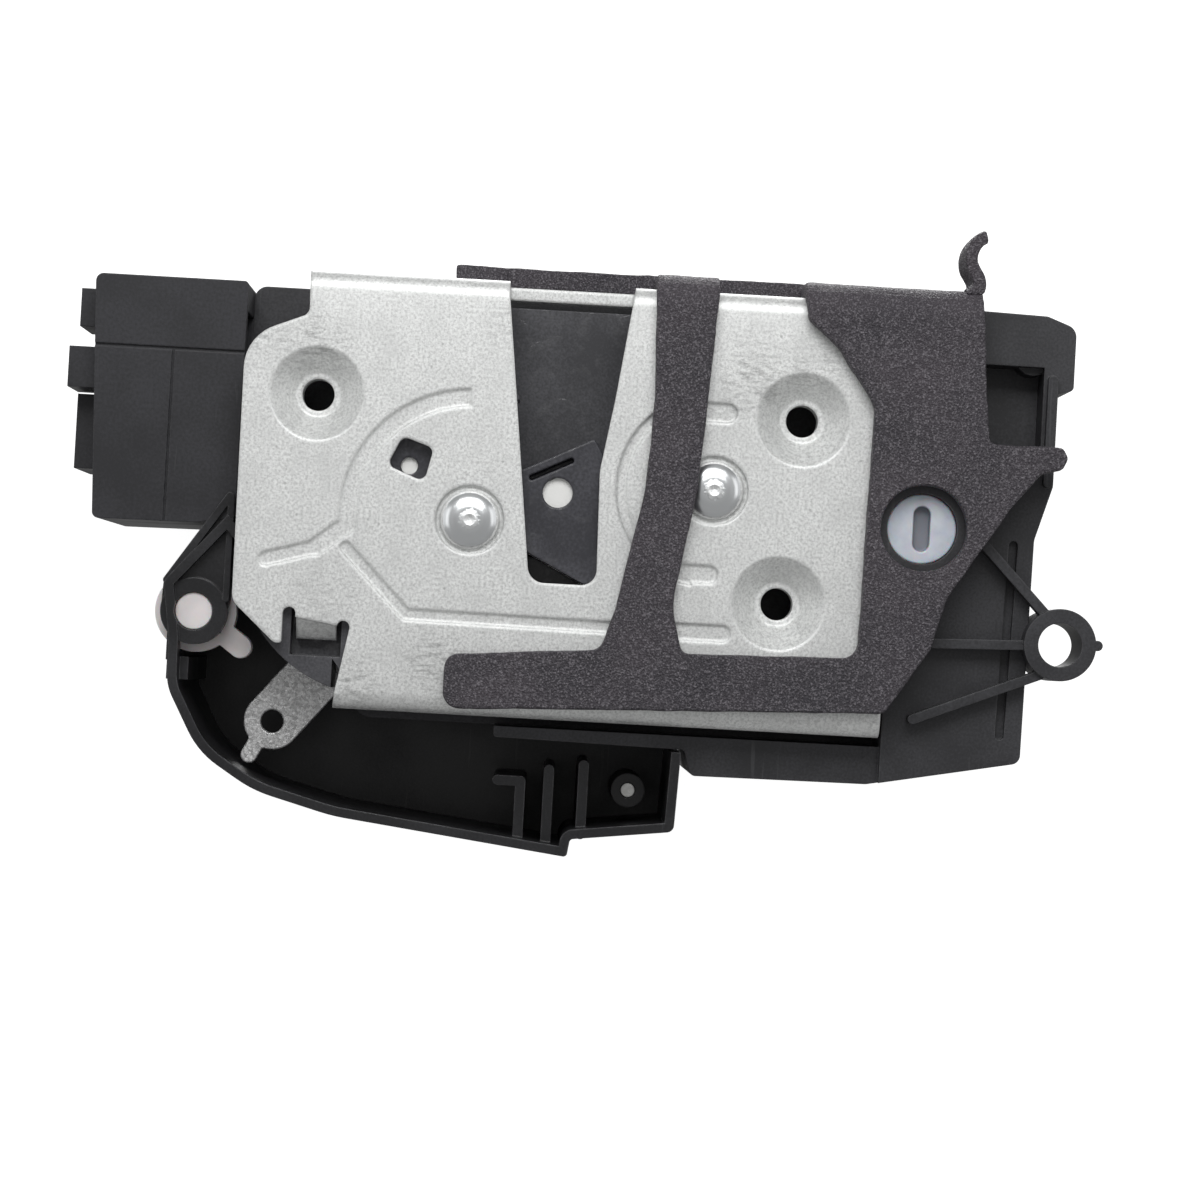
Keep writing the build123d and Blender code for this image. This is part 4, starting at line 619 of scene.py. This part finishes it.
# ---------------------------------------------------------------- table, lights and camera
# The actuator lies on its cover on a pale table and is seen almost square on, from about 0.6 m. The
# table faces the camera only, so that light reaches the back as well.
table_half, table_gap = 1.5, 0.0002
table_y = cad_box[1].y + table_gap
corners = [(-1, -1), (1, -1), (1, 1), (-1, 1)]
table = bpy.data.meshes.new("table")
table.from_pydata([(table_half * x, table_y, table_half * z) for x, z in corners], [], [(0, 1, 2, 3)])
table_top = bpy.data.objects.new("table", table)
bpy.context.scene.collection.objects.link(table_top)
pale = bpy.data.materials.new("Pale table")
pale.use_nodes = True
tree = pale.node_tree
tree.nodes.clear()
matt = add(tree, "ShaderNodeBsdfDiffuse", Color=(0.5, 0.5, 0.5, 1.0))
glow = add(tree, "ShaderNodeEmission", Color=(1.0, 1.0, 1.0, 1.0), Strength=0.92)
lit = add(tree, "ShaderNodeAddShader", {0: matt.outputs[0], 1: glow.outputs[0]})
clear = add(tree, "ShaderNodeBsdfTransparent")
side = add(tree, "ShaderNodeNewGeometry")
face = add(tree, "ShaderNodeMixShader",
           {0: side.outputs["Backfacing"], 1: lit.outputs[0], 2: clear.outputs[0]})
add(tree, "ShaderNodeOutputMaterial", {"Surface": face.outputs[0]})
table.materials.append(pale)
table_top.visible_shadow = False
table_top.visible_diffuse = False
table_top.visible_glossy = False
table_top.visible_transmission = False

world = bpy.data.worlds.new("Studio")
bpy.context.scene.world = world
world.use_nodes = True
tree = world.node_tree
tree.nodes.clear()
seen = add(tree, "ShaderNodeLightPath")
soft = add(tree, "ShaderNodeBackground", Color=(1.0, 1.0, 1.0, 1.0), Strength=0.33)
plain = add(tree, "ShaderNodeBackground", Color=(1.0, 1.0, 1.0, 1.0), Strength=1.0)
either = add(tree, "ShaderNodeMixShader",
             {0: seen.outputs["Is Camera Ray"], 1: soft.outputs[0], 2: plain.outputs[0]})
add(tree, "ShaderNodeOutputWorld", {"Surface": either.outputs[0]})


def softbox(name, place, aim, width, height, power):
    """A rectangular area lamp at place, facing aim."""
    lamp = bpy.data.lights.new(name, "AREA")
    lamp.shape = "RECTANGLE"
    lamp.size, lamp.size_y, lamp.energy = width, height, power
    box = bpy.data.objects.new(name, lamp)
    box.location = place
    box.rotation_mode = "QUATERNION"
    box.rotation_quaternion = (Vector(aim) - Vector(place)).to_track_quat("-Z", "Y")
    bpy.context.scene.collection.objects.link(box)


middle = (0.003, 0.0, 0.0)
softbox("key lamp", (-0.02, -0.42, 0.34), middle, 0.45, 0.25, 1.9)
softbox("left lamp", (-0.8, -0.4, 0.1), middle, 0.4, 0.7, 0.8)
softbox("right lamp", (0.8, -0.4, 0.2), middle, 0.4, 0.7, 0.8)
softbox("back lamp", (0.1, 0.8, 0.6), middle, 0.7, 0.6, 6.0)

picture_middle = Vector((0.00631, 0.0, -0.00812))
look = Vector((0.015, 1.0, 0.015)).normalized()
roll = math.radians(3.2)
distance, picture_width, film_width = 0.58, 0.1846, 36.0
right = Vector((math.cos(roll), 0.0, math.sin(roll)))
right = (right - look * right.dot(look)).normalized()
up = right.cross(look)
lens = bpy.data.cameras.new("camera")
lens.sensor_width = film_width
lens.lens = film_width * distance / picture_width
lens.clip_start, lens.clip_end = 0.05, 20.0
camera = bpy.data.objects.new("camera", lens)
bpy.context.scene.collection.objects.link(camera)
place = picture_middle - look * distance
camera.matrix_world = Matrix((
    (right.x, up.x, -look.x, place.x), (right.y, up.y, -look.y, place.y),
    (right.z, up.z, -look.z, place.z), (0.0, 0.0, 0.0, 1.0)))
bpy.context.scene.camera = camera
bpy.context.scene.view_settings.view_transform = "Standard"
